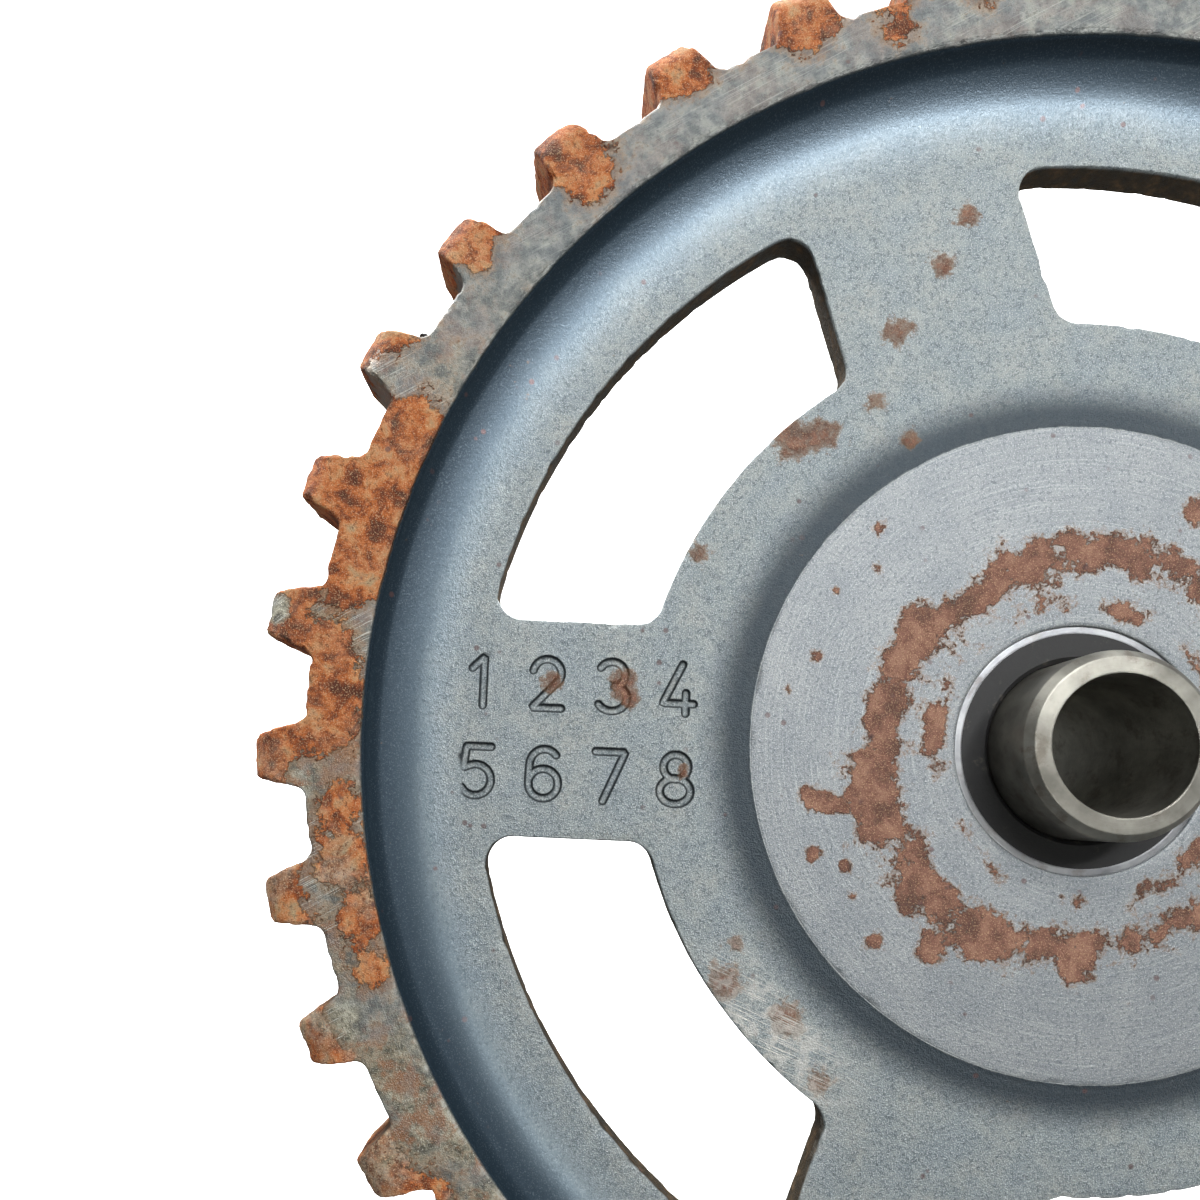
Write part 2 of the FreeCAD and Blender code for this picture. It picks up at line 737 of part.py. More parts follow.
def make_dowels():
    front = size("pad_back") - size("dowel_length") / 2
    pins = []
    for index, degrees in enumerate(DOWEL_ANGLES):
        pins.append(cylinder(f"pin_{index}", size("dowel_radius"), size("dowel_length"),
                             distance=size("screw_circle"), angle=spoke_phase + degrees, along=front))
    keep("dowel_pins", group("pin_set", pins))


# ---------------------------------------------------------------- bearing
def race_edge(shoulder):
    """Half width of a race groove where it meets its shoulder."""
    drop = DIMENSIONS["ball_circle"] - DIMENSIONS[shoulder]
    return math.sqrt(DIMENSIONS["race_radius"] ** 2 - drop ** 2)


def make_bearing_rings():
    front, back, middle = size("bearing_front"), bearing_back, bearing_middle
    chamfer, race = size("race_chamfer"), size("race_radius")
    bore, shoulder = size("bearing_bore"), size("inner_shoulder")
    edge = race_edge("inner_shoulder")
    turned_body("bearing_inner_ring", [
        (bore, front + chamfer),
        (bore + chamfer, front),
        (shoulder, front),
        (shoulder, middle - edge, race, -1),
        (shoulder, middle + edge),
        (shoulder, back),
        (bore + chamfer, back),
        (bore, back - chamfer),
    ])
    outside, shoulder, seat = size("bearing_outside"), size("outer_shoulder"), size("shield_seat")
    depth = size("shield_seat_depth")
    edge = race_edge("outer_shoulder")
    turned_body("bearing_outer_ring", [
        (outside - chamfer, front),
        (outside, front + chamfer),
        (outside, back - chamfer),
        (outside - chamfer, back),
        (seat, back),
        (seat, back - depth),
        (shoulder, back - depth),
        (shoulder, middle + edge, race, -1),
        (shoulder, middle - edge),
        (shoulder, front + depth),
        (seat, front + depth),
        (seat, front),
    ])


def make_shields():
    setback, thickness = size("shield_setback"), size("shield_thickness")
    starts = {
        "bearing_shield_front": size("bearing_front") + setback,
        "bearing_shield_rear": bearing_back - setback - thickness,
    }
    for label, start in starts.items():
        keep(label, tube(label, size("shield_inner"), size("shield_seat"), thickness, along=start))


def ball_angle(index):
    return Size(index * 360.0 / BALL_COUNT, f"{index * 360.0 / BALL_COUNT}")


def rivet_angle(index):
    return ball_angle(index) + 180.0 / BALL_COUNT


def spheres_at_balls(name, radius):
    """A sphere of the given radius at each ball's place."""
    spheres = []
    for index in range(BALL_COUNT):
        spheres.append(sphere(f"{name}_{index}", radius, distance=size("ball_circle"),
                              angle=ball_angle(index), along=bearing_middle))
    return spheres


def make_balls():
    keep("bearing_balls", group("ball_set", spheres_at_balls("ball", size("ball_radius"))))


def make_cage_half(label, start, lands_at):
    """Pressed ribbon half: flat lands between the balls and a cup over each ball."""
    inner, outer, metal = size("cage_inner"), size("cage_outer"), size("cage_sheet")
    pocket = size("ball_radius") + size("cage_ball_gap")
    lands = tube(f"{label}_lands", inner, outer, metal, along=lands_at)
    shells = spheres_at_balls(f"{label}_shell", pocket + metal)
    blank = fuse(f"{label}_blank", [lands] + shells)
    band = tube(f"{label}_band", inner, outer, size("bearing_width") / 2, along=start)
    ribbon = common(f"{label}_ribbon", blank, band)
    tools = spheres_at_balls(f"{label}_pocket", pocket)
    for index in range(BALL_COUNT):
        tools.append(cylinder(f"{label}_eye_{index}", size("rivet_radius"), metal, along=lands_at,
                              distance=size("ball_circle"), angle=rivet_angle(index)))
    keep(label, cut(f"{label}_pressed", ribbon, group(f"{label}_tools", tools)))


def make_cage():
    metal = size("cage_sheet")
    make_cage_half("bearing_cage_front", size("bearing_front"), bearing_middle - metal)
    make_cage_half("bearing_cage_rear", bearing_middle, bearing_middle)


def make_cage_rivets():
    """Rivets through the lands, midway between the balls, with a head on each side."""
    metal, head = size("cage_sheet"), size("rivet_head_height")
    rivets = []
    for index in range(BALL_COUNT):
        where = {"distance": size("ball_circle"), "angle": rivet_angle(index)}
        front, back = bearing_middle - metal, bearing_middle + metal
        rivets.append(fuse(f"rivet_{index}", [
            cylinder(f"rivet_shank_{index}", size("rivet_radius"), metal * 2, along=front, **where),
            cylinder(f"rivet_front_{index}", size("rivet_head_radius"), head, along=front - head, **where),
            cylinder(f"rivet_back_{index}", size("rivet_head_radius"), head, along=back, **where),
        ]))
    keep("bearing_cage_rivets", group("rivet_set", rivets))


# ---------------------------------------------------------------- circlips
def make_circlip(label, inner, outer, thickness, start, lug_circle):
    """Open ring with a plier lug and a hole at each end of its gap, which faces +Z."""
    ring = tube(f"{label}_ring", inner, outer, thickness, along=start)
    half, lug = size("clip_gap_half"), size("clip_lug_radius")
    lean = math.degrees(math.asin((plain(half) + plain(lug)) / plain(lug_circle)))
    lugs, holes = [], []
    for side in (-1, 1):
        angle = Size(90 + side * lean, f"{90 + side * lean:.6f}")
        where = {"distance": lug_circle, "angle": angle, "along": start}
        lugs.append(cylinder(f"{label}_lug_{side + 1}", lug, thickness, **where))
        holes.append(cylinder(f"{label}_eye_{side + 1}", size("clip_hole_radius"), thickness, **where))
    gap = doc.addObject("Part::Box", f"{label}_gap")
    bind(gap, Length=half * 2, Width=thickness, Height=outer + size("overcut"))
    gap.Placement = Placement(Vector(-plain(half), plain(start), 0), Rotation())
    gap.setExpression(".Placement.Base.x", (-half).text)
    gap.setExpression(".Placement.Base.y", start.text)
    blank = fuse(f"{label}_blank", [ring] + lugs)
    keep(label, cut(f"{label}_cut", blank, group(f"{label}_tools", holes + [gap])))


def make_circlips():
    lug = size("clip_lug_radius")
    make_circlip("bearing_circlip", size("housing_clip_inner"), size("housing_clip_outer"),
                 size("housing_clip_thickness"), housing_clip_front,
                 size("housing_clip_inner") - lug / 2)
    make_circlip("sleeve_circlip", size("sleeve_clip_inner"), size("sleeve_clip_outer"),
                 size("sleeve_clip_thickness"), size("bearing_front") - size("sleeve_clip_thickness"),
                 size("sleeve_clip_outer") + lug / 2)


# ---------------------------------------------------------------- axle sleeve
def make_axle_sleeve():
    """Sleeve through the bearing: plain nose, circlip groove, bearing seat and rear flange."""
    chamfer, front, back = size("sleeve_chamfer"), size("sleeve_front"), size("sleeve_back")
    outside, flange = size("sleeve_radius"), size("sleeve_flange")
    groove_front = size("bearing_front") - size("sleeve_clip_thickness") - size("clip_groove_play")
    turned_body("axle_sleeve", [
        (size("sleeve_bore"), front),
        (outside - chamfer, front),
        (outside, front + chamfer),
        (outside, groove_front),
        (size("sleeve_clip_inner"), groove_front),
        (size("sleeve_clip_inner"), size("bearing_front")),
        (outside, size("bearing_front")),
        (outside, bearing_back),
        (flange, bearing_back),
        (flange, back - chamfer),
        (flange - chamfer, back),
        (size("sleeve_bore"), back),
    ])


# ---------------------------------------------------------------- dust seal
def make_dust_seal():
    """Steel case pressed into the disc, with a bonded rubber lip that a garter spring closes."""
    wall = size("seal_case_wall")
    face = hub_front + size("seal_front_gap")
    bonded = size("seal_radius") - wall
    keep("seal_case", tube("seal_case", bonded, size("seal_radius"), size("seal_floor") - face, along=face))
    edge, lift = size("sleeve_radius") + size("seal_shaft_gap"), size("lip_lift")
    outside, sealing = edge + size("lip_thickness"), face + size("lip_edge")
    half = size("spring_groove_half")
    turned_body("seal_lip", [
        (bonded, face),
        (edge + lift, face),
        (edge, face + size("dust_edge")),
        (edge + lift, face + size("dust_back")),
        (edge + lift, face + size("lip_root")),
        (edge, sealing),
        (edge + lift, face + size("lip_back")),
        (outside, face + size("lip_back")),
        (outside, sealing + half),
        (outside - size("spring_groove_depth"), sealing),
        (outside, sealing - half),
        (edge + size("lip_neck"), face + size("seal_web")),
        (bonded, face + size("seal_web")),
    ])
    keep("seal_spring", torus("seal_spring", size("seal_spring_circle"), size("seal_spring_section"),
                              along=sealing))


def make_o_ring():
    section = size("o_ring_section")
    middle = size("o_ring_groove_front") + size("o_ring_groove_width") / 2
    keep("hub_o_ring", torus("hub_o_ring", size("o_ring_groove_floor") + section, section, along=middle))


# ---------------------------------------------------------------- build, check and write
make_sprocket_disc()
make_driver_hub()
make_screws()
make_lock_washers()
make_dowels()
make_bearing_rings()
make_shields()
make_balls()
make_cage()
make_cage_rivets()
make_circlips()
make_axle_sleeve()
make_dust_seal()
make_o_ring()
doc.recompute()

for thing in doc.Objects:
    if "Invalid" in thing.State or "Error" in thing.State:
        raise RuntimeError(f"{thing.Label} failed: {thing.State}")
for label, thing in nodes.items():
    if thing.Shape.isNull() or not thing.Shape.isValid():
        raise RuntimeError(f"{label} has no valid shape")

os.makedirs("parts", exist_ok=True)
for label, thing in nodes.items():
    thing.Shape.exportStep(f"parts/{label}.step")
    print(f"{label}: {len(thing.Shape.Solids)} solid(s), {thing.Shape.Volume:.1f} mm3")
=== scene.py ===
import math

import bmesh
import bpy
import numpy as np
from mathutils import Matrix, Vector, noise
from mathutils.geometry import delaunay_2d_cdt


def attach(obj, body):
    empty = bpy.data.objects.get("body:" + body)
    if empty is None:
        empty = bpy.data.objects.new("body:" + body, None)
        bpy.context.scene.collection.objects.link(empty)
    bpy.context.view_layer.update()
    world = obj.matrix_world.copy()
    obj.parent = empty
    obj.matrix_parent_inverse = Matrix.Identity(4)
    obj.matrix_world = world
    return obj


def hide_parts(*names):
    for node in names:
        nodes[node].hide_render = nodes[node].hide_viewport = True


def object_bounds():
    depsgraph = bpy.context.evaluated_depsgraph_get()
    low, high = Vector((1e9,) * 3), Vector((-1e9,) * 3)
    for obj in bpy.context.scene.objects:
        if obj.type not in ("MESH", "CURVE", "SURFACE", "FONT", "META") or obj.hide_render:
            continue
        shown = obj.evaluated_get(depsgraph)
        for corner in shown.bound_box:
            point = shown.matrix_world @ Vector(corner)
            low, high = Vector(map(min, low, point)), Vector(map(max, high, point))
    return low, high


# Rear sprocket on its carrier hub. The shell of the toothed disc is built here in millimetres,
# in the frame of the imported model, and scaled to metres once its points are final.

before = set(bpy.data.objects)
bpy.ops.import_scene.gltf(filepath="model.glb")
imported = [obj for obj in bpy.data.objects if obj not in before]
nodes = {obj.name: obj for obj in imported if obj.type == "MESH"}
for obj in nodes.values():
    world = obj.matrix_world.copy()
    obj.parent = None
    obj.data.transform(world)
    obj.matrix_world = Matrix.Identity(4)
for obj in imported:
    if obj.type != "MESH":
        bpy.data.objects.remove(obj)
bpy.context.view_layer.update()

MM = 0.001
TAU = 2 * math.pi

# ---- sizes of the disc, as in the model
TEETH = 36
SPOKES = 5
TIP_R = 91.93
ROOT_R = 85.99
RELIEF_HEIGHT = 3.6
RELIEF_DEPTH = 1.9
GAP_MOUTH_R = 92.93
GAP_MOUTH_HALF = 6.1
GAP_FLANK = math.radians(18.3)
GAP_FILLET = 1.4
GAP_PHASE = math.radians(135.43)
TIP_CORNER = 0.9

RIM_Y = 4.45
RIM_INNER_R = 80.2
RIM_BEVEL = 0.55
COVE_FOOT_R = 69.4
COVE_GENTLE = math.radians(25)
COVE_STEEP = math.radians(75)
WEB_Y = -0.15
WEB_BACK_Y = 3.45
RIM_BACK_R = 76.0
RIM_BACK_FOOT_R = 74.4

HUB_FOOT_R = 41.8
HUB_R = 36.8
HUB_Y = -0.80
SEAL_R = 14.0
SEAL_FLOOR_Y = 4.5
SEAL_STOP_R = 12.2
PILOT_FLOOR_Y = 5.1
PILOT_R = 27.05
PAD_R = 44.0
PAD_FOOT_R = 45.0
PAD_Y = 7.6
FIXING_R = 37.0
SCREW_HOLE_R = 3.05
SCREW_HOLE_Y = 0.75
DOWEL_R = 3.0
DOWEL_Y = 2.6

WINDOW_OUTER_R = 67.9
WINDOW_INNER_R = 49.3
WINDOW_CORNER = 3.0
SPOKE_HALF = 12.4
SPOKE_PHASE = math.radians(177.5)
WINDOW_PHASE = SPOKE_PHASE - math.pi / SPOKES

# ---- fineness of the shell
PER_TOOTH = 52
RIM_COLUMNS = TEETH * PER_TOOTH
COVE_COLUMNS = RIM_COLUMNS // 2
HUB_COLUMNS = COVE_COLUMNS // 2
PER_WINDOW = 230
EDGE_ROUND = 0.34
WINDOW_ROUND = 0.2
RIM_ROWS = 22
RIM_BACK_ROWS = 9
TOOTH_WALL_ROWS = 12
WINDOW_WALL_ROWS = 6
HUB_RINGS = 31
WEB_STEP = 0.85
WEB_BACK_STEP = 1.7
PAD_STEP = 2.5
HOLE_POINTS = 28
# How far the free points stay from the windows and from the middle of a hole.
WEB_MARGIN = 0.5
WEB_BACK_MARGIN = 1.0
HOLE_MARGIN = 4.0

# Rust on the toothed rim: angle in degrees, radius and reach in millimetres, amount. An amount
# below zero keeps the steel bare.
RIM_PATCHES = [
    (161.5, 84.0, 4.6, 1.0), (157.0, 83.0, 4.2, 1.0), (154.0, 82.6, 3.0, 0.9),
    (175.5, 84.0, 4.0, 1.0), (178.3, 84.4, 2.6, 0.8), (172.6, 84.8, 2.6, 0.8),
    (167.0, 83.4, 3.0, 0.9), (164.8, 81.9, 3.0, 0.9), (130.6, 84.6, 3.6, 1.0),
    (184.3, 82.2, 2.2, 0.8), (188.4, 82.2, 2.4, 0.9), (193.0, 81.5, 2.4, 0.8),
    (197.0, 81.9, 2.0, 0.7), (141.0, 86.4, 2.4, 0.5), (120.5, 86.5, 3.0, 0.7),
    (111.0, 85.0, 3.6, 0.9), (104.0, 83.0, 3.0, 0.8), (97.0, 85.5, 3.0, 0.8),
    (213.0, 85.0, 2.6, 0.6), (222.0, 83.5, 3.2, 0.8), (236.0, 84.5, 3.4, 0.9),
    (170.2, 90.6, 1.6, -1.4), (151.7, 88.8, 2.6, -0.7), (142.6, 87.4, 1.6, -0.7),
    (199.6, 86.6, 2.4, -0.6), (182.4, 87.0, 1.8, -0.5),
]
# Rust on the web and the hub face, in the same terms.
FACE_PATCHES = [
    (112.0, 52.0, 2.2, 0.8), (118.5, 46.0, 1.6, 0.7), (131.0, 47.6, 3.0, 0.9),
    (127.0, 45.4, 2.0, 0.7), (152.0, 48.0, 2.0, 0.6), (213.0, 47.5, 2.6, 0.9),
    (222.0, 44.5, 2.4, 0.8), (209.0, 44.0, 1.3, 0.6), (104.0, 58.0, 1.5, 0.8),
    (100.0, 63.0, 1.7, 0.9), (117.0, 40.0, 1.3, 0.9), (231.0, 47.0, 2.0, 0.7),
    (172.4, 59.6, 1.5, 0.9), (171.5, 51.5, 1.9, 1.0), (173.2, 50.6, 0.8, 1.0),
    (182.8, 44.2, 0.9, 0.9), (160.0, 31.0, 1.0, 0.9), (168.0, 33.2, 0.8, 0.6),
    (190.0, 30.4, 1.6, 1.0), (192.5, 28.6, 1.3, 0.8), (201.0, 32.0, 1.2, 0.9),
    (206.0, 29.5, 1.0, 0.8), (212.0, 30.5, 0.9, 0.8), (146.0, 32.6, 0.8, 0.7),
    (137.0, 30.4, 0.9, 0.7), (131.0, 33.5, 1.0, 0.8), (222.0, 31.5, 1.4, 0.8),
    (232.0, 28.0, 2.0, 0.9), (64.0, 30.0, 1.8, 0.9), (305.0, 31.0, 1.6, 0.9),
    (18.0, 29.0, 1.4, 0.9), (345.0, 33.0, 1.2, 0.8),
]
# The broken ring of rust on the hub face and the one round the seal: radius and half width.
HUB_RUST_R, HUB_RUST_HALF = 22.4, 3.0
SEAL_RUST_R, SEAL_RUST_HALF = 16.4, 1.3
# Rust grows over this run of radius on the teeth, and covers the gaps' walls below ROOT_WALL_R.
TOOTH_RUST_R, TOOTH_RUST_RUN = 86.8, 2.8
ROOT_WALL_R = 86.3
# Painted shade darkens the tooth gaps' walls from the first radius to the second.
GAP_SHADE_R = (88.5, 87.5)
# Points with y below this belong to the disc's outer side.
OUTER_SIDE_Y = 1.0
# Streaks round the axle have their stated length at this radius.
STREAK_R = 80.0
# Reach of the rounded edges of plain metal pieces, which a painted highlight also lightens.
ROUNDED_EDGE_SHEEN = 0.25
# Middle and reach of the painted glare, a bright highlight on the web.
GLARE_AT = (-37.0, -34.0)
GLARE_REACH = 17.0

# Crumbs of grease: how many, and the least value and the spread of each measure.
GREASE_CRUMBS = 16
GREASE_DEGREES = (147.1, 1.7)
GREASE_R = (86.15, 0.9)
GREASE_Y = (-3.9, 1.6)
GREASE_SIZE = (0.22, 0.42)


# ---- shapes in the plane of the disc
def polar(radius, angle):
    return np.stack([radius * np.cos(angle), radius * np.sin(angle)], axis=-1)


def rotate(points, angle):
    c, s = math.cos(angle), math.sin(angle)
    return points @ np.array([[c, s], [-s, c]])


def resample(points, count, closed):
    """Points at equal steps along a line; a closed line doesn't repeat its first point."""
    if closed:
        points = np.vstack([points, points[:1]])
    steps = np.hypot(*np.diff(points, axis=0).T)
    run = np.concatenate([[0], np.cumsum(steps)])
    at = np.linspace(0, run[-1], count + 1)
    at = at[:-1] if closed else at
    return np.stack([np.interp(at, run, points[:, i]) for i in (0, 1)], axis=-1)


def arc(centre, radius, start, end, steps=14):
    angle = np.linspace(start, end, steps)
    return np.asarray(centre) + polar(radius, angle)


def tooth_outline():
    """One closed outline of all teeth: flat root arcs, fillets, flanks and rounded tip corners."""
    mouth = np.array([GAP_MOUTH_R, GAP_MOUTH_HALF])
    along = np.array([math.cos(GAP_FLANK), math.sin(GAP_FLANK)])
    aside = np.array([-along[1], along[0]])

    def centre_on(radius, shift):
        """Point at this radius on the line that lies shift beside the flank."""
        base = mouth + aside * shift
        ahead = base @ along
        return base + along * (-ahead + math.sqrt(ahead * ahead - base @ base + radius ** 2))

    fillet = centre_on(ROOT_R + GAP_FILLET, -GAP_FILLET)
    corner = centre_on(TIP_R - TIP_CORNER, TIP_CORNER)
    root_turn = math.atan2(fillet[1], fillet[0])
    tip_turn = math.atan2(corner[1], corner[0])
    flank_side = GAP_FLANK + math.pi / 2
    half = np.vstack([
        arc((0, 0), ROOT_R, 0, root_turn),
        arc(fillet, GAP_FILLET, root_turn + math.pi, flank_side)[1:],
        arc(corner, TIP_CORNER, flank_side + math.pi, tip_turn + TAU),
        arc((0, 0), TIP_R, tip_turn, math.pi / TEETH)[1:],
    ])
    other = half[::-1][1:] * [1, -1]
    period = np.vstack([half[:-1], rotate(other, TAU / TEETH)])
    period = resample(period, PER_TOOTH, closed=False)[:-1]
    turns = [rotate(period, GAP_PHASE + TAU * k / TEETH) for k in range(TEETH)]
    return np.vstack(turns)


def window_outline():
    """One window with its middle on the first axis: two arcs, two straight sides, four corners."""
    lean = math.pi / SPOKES
    along = np.array([math.cos(lean), math.sin(lean)])
    inwards = np.array([math.sin(lean), -math.cos(lean)])
    aside = SPOKE_HALF + WINDOW_CORNER
    far = math.sqrt((WINDOW_OUTER_R - WINDOW_CORNER) ** 2 - aside ** 2)
    near = math.sqrt((WINDOW_INNER_R + WINDOW_CORNER) ** 2 - aside ** 2)
    outer, inner = along * far + inwards * aside, along * near + inwards * aside
    outer_turn = math.atan2(outer[1], outer[0])
    inner_turn = math.atan2(inner[1], inner[0])
    side = lean + math.pi / 2
    half = np.vstack([
        arc((0, 0), WINDOW_OUTER_R, 0, outer_turn, 40),
        arc(outer, WINDOW_CORNER, outer_turn, side)[1:],
        arc(inner, WINDOW_CORNER, side, inner_turn + math.pi),
        arc((0, 0), WINDOW_INNER_R, inner_turn, 0, 30)[1:],
    ])
    return resample(np.vstack([half, half[::-1][1:-1] * [1, -1]]), PER_WINDOW, closed=True)


def outward(loop):
    """Unit normals of a closed counter-clockwise loop, pointing away from its inside."""
    along = np.roll(loop, -1, axis=0) - np.roll(loop, 1, axis=0)
    along /= np.hypot(*along.T)[:, None]
    return np.stack([along[:, 1], -along[:, 0]], axis=-1)


# ---- heights of the faces
def cove_line(steps_wide=13, steps_tight=11):
    """Section of the outer cove: a wide arc off the web, then a tight arc up to the rim's bevel."""
    span = RIM_INNER_R - RIM_BEVEL - COVE_FOOT_R
    rise = WEB_Y + RIM_Y - RIM_BEVEL
    a, b = COVE_GENTLE, COVE_STEEP
    wide_run, wide_rise = math.sin(a), 1 - math.cos(a)
    tight_run, tight_rise = math.sin(b) - math.sin(a), math.cos(a) - math.cos(b)
    tight = (rise * wide_run - span * wide_rise) / (tight_rise * wide_run - tight_run * wide_rise)
    wide = (span - tight * tight_run) / wide_run
    first = np.linspace(0, a, steps_wide)
    line = [(COVE_FOOT_R + wide * math.sin(t), WEB_Y - wide * (1 - math.cos(t))) for t in first]
    knee_r, knee_y = line[-1]
    for t in np.linspace(a, b, steps_tight)[1:]:
        line.append((knee_r + tight * (math.sin(t) - wide_run),
                     knee_y - tight * (math.cos(a) - math.cos(t))))
    return line


def hub_line(steps=9):
    """Section of the inner cove, from the hub face's edge down to the web."""
    rise = WEB_Y - HUB_Y
    run = HUB_FOOT_R - HUB_R
    radius = (run ** 2 + rise ** 2) / (2 * rise)
    places = np.linspace(HUB_R, HUB_FOOT_R, steps)
    return [(r, WEB_Y - radius + math.sqrt(radius ** 2 - (HUB_FOOT_R - r) ** 2)) for r in places]


def relief(radius):
    """How far a tooth's side face falls back from the rim's face at this radius."""
    curve = (RELIEF_HEIGHT ** 2 + RELIEF_DEPTH ** 2) / (2 * RELIEF_DEPTH)
    past = np.clip(radius - (TIP_R - RELIEF_HEIGHT), 0, curve)
    return curve - np.sqrt(curve ** 2 - past ** 2)


# ---- stamped figures
def bow(cx, cy, rx, ry, start, end, steps=12):
    """Points along part of an ellipse, from one angle in degrees to another."""
    angle = np.radians(np.linspace(start, end, steps))
    return np.stack([cx + rx * np.cos(angle), cy + ry * np.sin(angle)], axis=-1)


# Strokes of plain placeholder figures in a box one high, as points to be joined in order.
FIGURES = {
    "1": [[(0.12, 0.76), (0.36, 1.0), (0.36, 0.0)]],
    "2": [np.vstack([bow(0.31, 0.71, 0.29, 0.29, 170, -25), [(0.02, 0.0), (0.62, 0.0)]])],
    "3": [np.vstack([bow(0.29, 0.74, 0.27, 0.26, 150, -80), bow(0.30, 0.26, 0.31, 0.27, 80, -150)])],
    "4": [[(0.38, 1.0), (0.0, 0.2), (0.62, 0.2)], [(0.46, 0.42), (0.46, 0.0)]],
    "5": [np.vstack([[(0.58, 1.0), (0.08, 1.0), (0.03, 0.56)],
                     bow(0.28, 0.32, 0.32, 0.32, 115, -150)])],
    "6": [np.vstack([bow(0.33, 0.68, 0.3, 0.32, 40, 180), [(0.02, 0.4)],
                     bow(0.32, 0.3, 0.3, 0.3, 180, 520, 22)])],
    "7": [[(0.02, 1.0), (0.62, 1.0), (0.2, 0.0)]],
    "8": [bow(0.31, 0.75, 0.25, 0.25, -90, 270, 20), bow(0.31, 0.26, 0.31, 0.26, 90, 450, 22)],
}
FIGURE_ROWS = [("1234", 5.15 - 2.8), ("5678", -5.15 - 2.8)]
FIGURE_HEIGHT = 5.6
FIGURE_FIRST = 69.2
FIGURE_STEP = 7.5
STAMP_HALF = 0.5
STAMP_DEPTH = 0.42
STAMP_FLAT = 0.28
STAMP_STEP = 0.18
STAMP_CLEAR = 0.45
STAMP_LIP = 0.1
STAMP_LIP_HEIGHT = 0.04
# Distances from a stroke at which rows of points follow it.
STAMP_ROWS = (0.17, 0.28, 0.35, 0.42, 0.5, 0.6, 0.78)
# Middle and reach of the stamped area on the spoke; points beyond it count as FAR_OFF.
STAMP_MIDDLE_R = 57.0
STAMP_REACH = 22.0
FAR_OFF = 99.0


def stamp_strokes():
    """The strokes of both rows on the first spoke, finely stepped; a row reads towards the hub."""
    strokes = []
    for text, low in FIGURE_ROWS:
        for place, figure in enumerate(text):
            for stroke in FIGURES[figure]:
                line = np.asarray(stroke, float) * FIGURE_HEIGHT
                out_along = FIGURE_FIRST - FIGURE_STEP * place - line[:, 0]
                local = np.stack([out_along, -(low + line[:, 1])], axis=-1)
                line = rotate(local, SPOKE_PHASE)
                length = np.hypot(*np.diff(line, axis=0).T).sum()
                strokes.append(resample(line, max(4, int(length / STAMP_STEP)), closed=False))
    return strokes


def stroke_distance(points, strokes):
    """Distance of each point from the nearest stroke."""
    nearest = np.full(len(points), FAR_OFF)
    offset = points - polar(STAMP_MIDDLE_R, SPOKE_PHASE)
    close = np.nonzero(np.hypot(offset[:, 0], offset[:, 1]) < STAMP_REACH)[0]
    some = points[close]
    best = np.full(len(some), FAR_OFF)
    for line in strokes:
        start = line[:-1]
        step = line[1:] - start
        share = ((some[:, None, :] - start) * step).sum(-1) / (step * step).sum(-1)
        foot = start + np.clip(share, 0, 1)[..., None] * step
        best = np.minimum(best, np.hypot(*(some[:, None, :] - foot).transpose(2, 0, 1)).min(axis=1))
    nearest[close] = best
    return nearest


# ---- building a shell
class Shell:
    """Points, faces and per-point marks of one closed surface."""

    def __init__(self):
        self.points, self.edge, self.faces, self.count = [], [], [], 0

    def add(self, plane, y, edge=0.0):
        """Points from their places in the disc's plane and their heights along the axle."""
        n = len(plane)
        y = np.broadcast_to(y, n)
        self.points.append(np.stack([plane[:, 0], y, plane[:, 1]], axis=-1))
        self.edge.append(np.broadcast_to(float(edge), n))
        self.count += n
        return np.arange(self.count - n, self.count)

    def band(self, a, b):
        """Faces between two closed loops; the second may have half as many points as the first."""
        if len(a) == len(b):
            a2, b2 = np.roll(a, -1), np.roll(b, -1)
            self.faces += np.stack([a, a2, b2, b], axis=-1).tolist()
            return
        left, mid, right = a[0::2], a[1::2], np.roll(a[0::2], -1)
        b2 = np.roll(b, -1)
        self.faces += np.stack([left, mid, b], axis=-1).tolist()
        self.faces += np.stack([mid, b2, b], axis=-1).tolist()
        self.faces += np.stack([mid, right, b2], axis=-1).tolist()

    def bands(self, loops):
        for a, b in zip(loops, loops[1:]):
            self.band(a, b)

    def ring(self, radius, y, count, edge=0.0):
        return self.add(polar(radius, np.arange(count) * TAU / count + GAP_PHASE), y, edge)

    def fill(self, loops, inside, height):
        """A face between closed loops, which are index arrays: the first is the outer edge, the others
        are holes. Inside points get their height from a function."""
        made = np.vstack(self.points)
        edges, start = [], 0
        known = np.concatenate(loops)
        for loop in loops:
            n = len(loop)
            edges += [(start + i, start + (i + 1) % n) for i in range(n)]
            start += n
        plane = np.vstack([made[known][:, [0, 2]], inside])
        found = delaunay_2d_cdt(plane.tolist(), edges, [], 0, 1e-7)
        corners, tris, sources = np.array(found[0]), np.array(found[2]), found[3]
        index = np.empty(len(corners), int)
        new = []
        for i, source in enumerate(sources):
            if source and source[0] < len(known):
                index[i] = known[source[0]]
            else:
                index[i] = self.count + len(new)
                new.append(i)
        fresh = corners[new]
        self.add(fresh, height(fresh))
        middle = corners[tris].mean(axis=1)
        keep = crossings(middle, made[loops[0]][:, [0, 2]])
        for loop in loops[1:]:
            keep &= ~crossings(middle, made[loop][:, [0, 2]])
        self.faces += index[tris[keep]].tolist()


def crossings(points, loop):
    """Whether each point lies inside a closed loop."""
    x1, z1 = loop.T
    x2, z2 = np.roll(loop, -1, axis=0).T
    px, pz = points[:, :1], points[:, 1:]
    spans = (z1 > pz) != (z2 > pz)
    with np.errstate(divide="ignore", invalid="ignore"):
        at = x1 + (pz - z1) * (x2 - x1) / (z2 - z1)
    return (spans & (px < at)).sum(axis=1) % 2 == 1


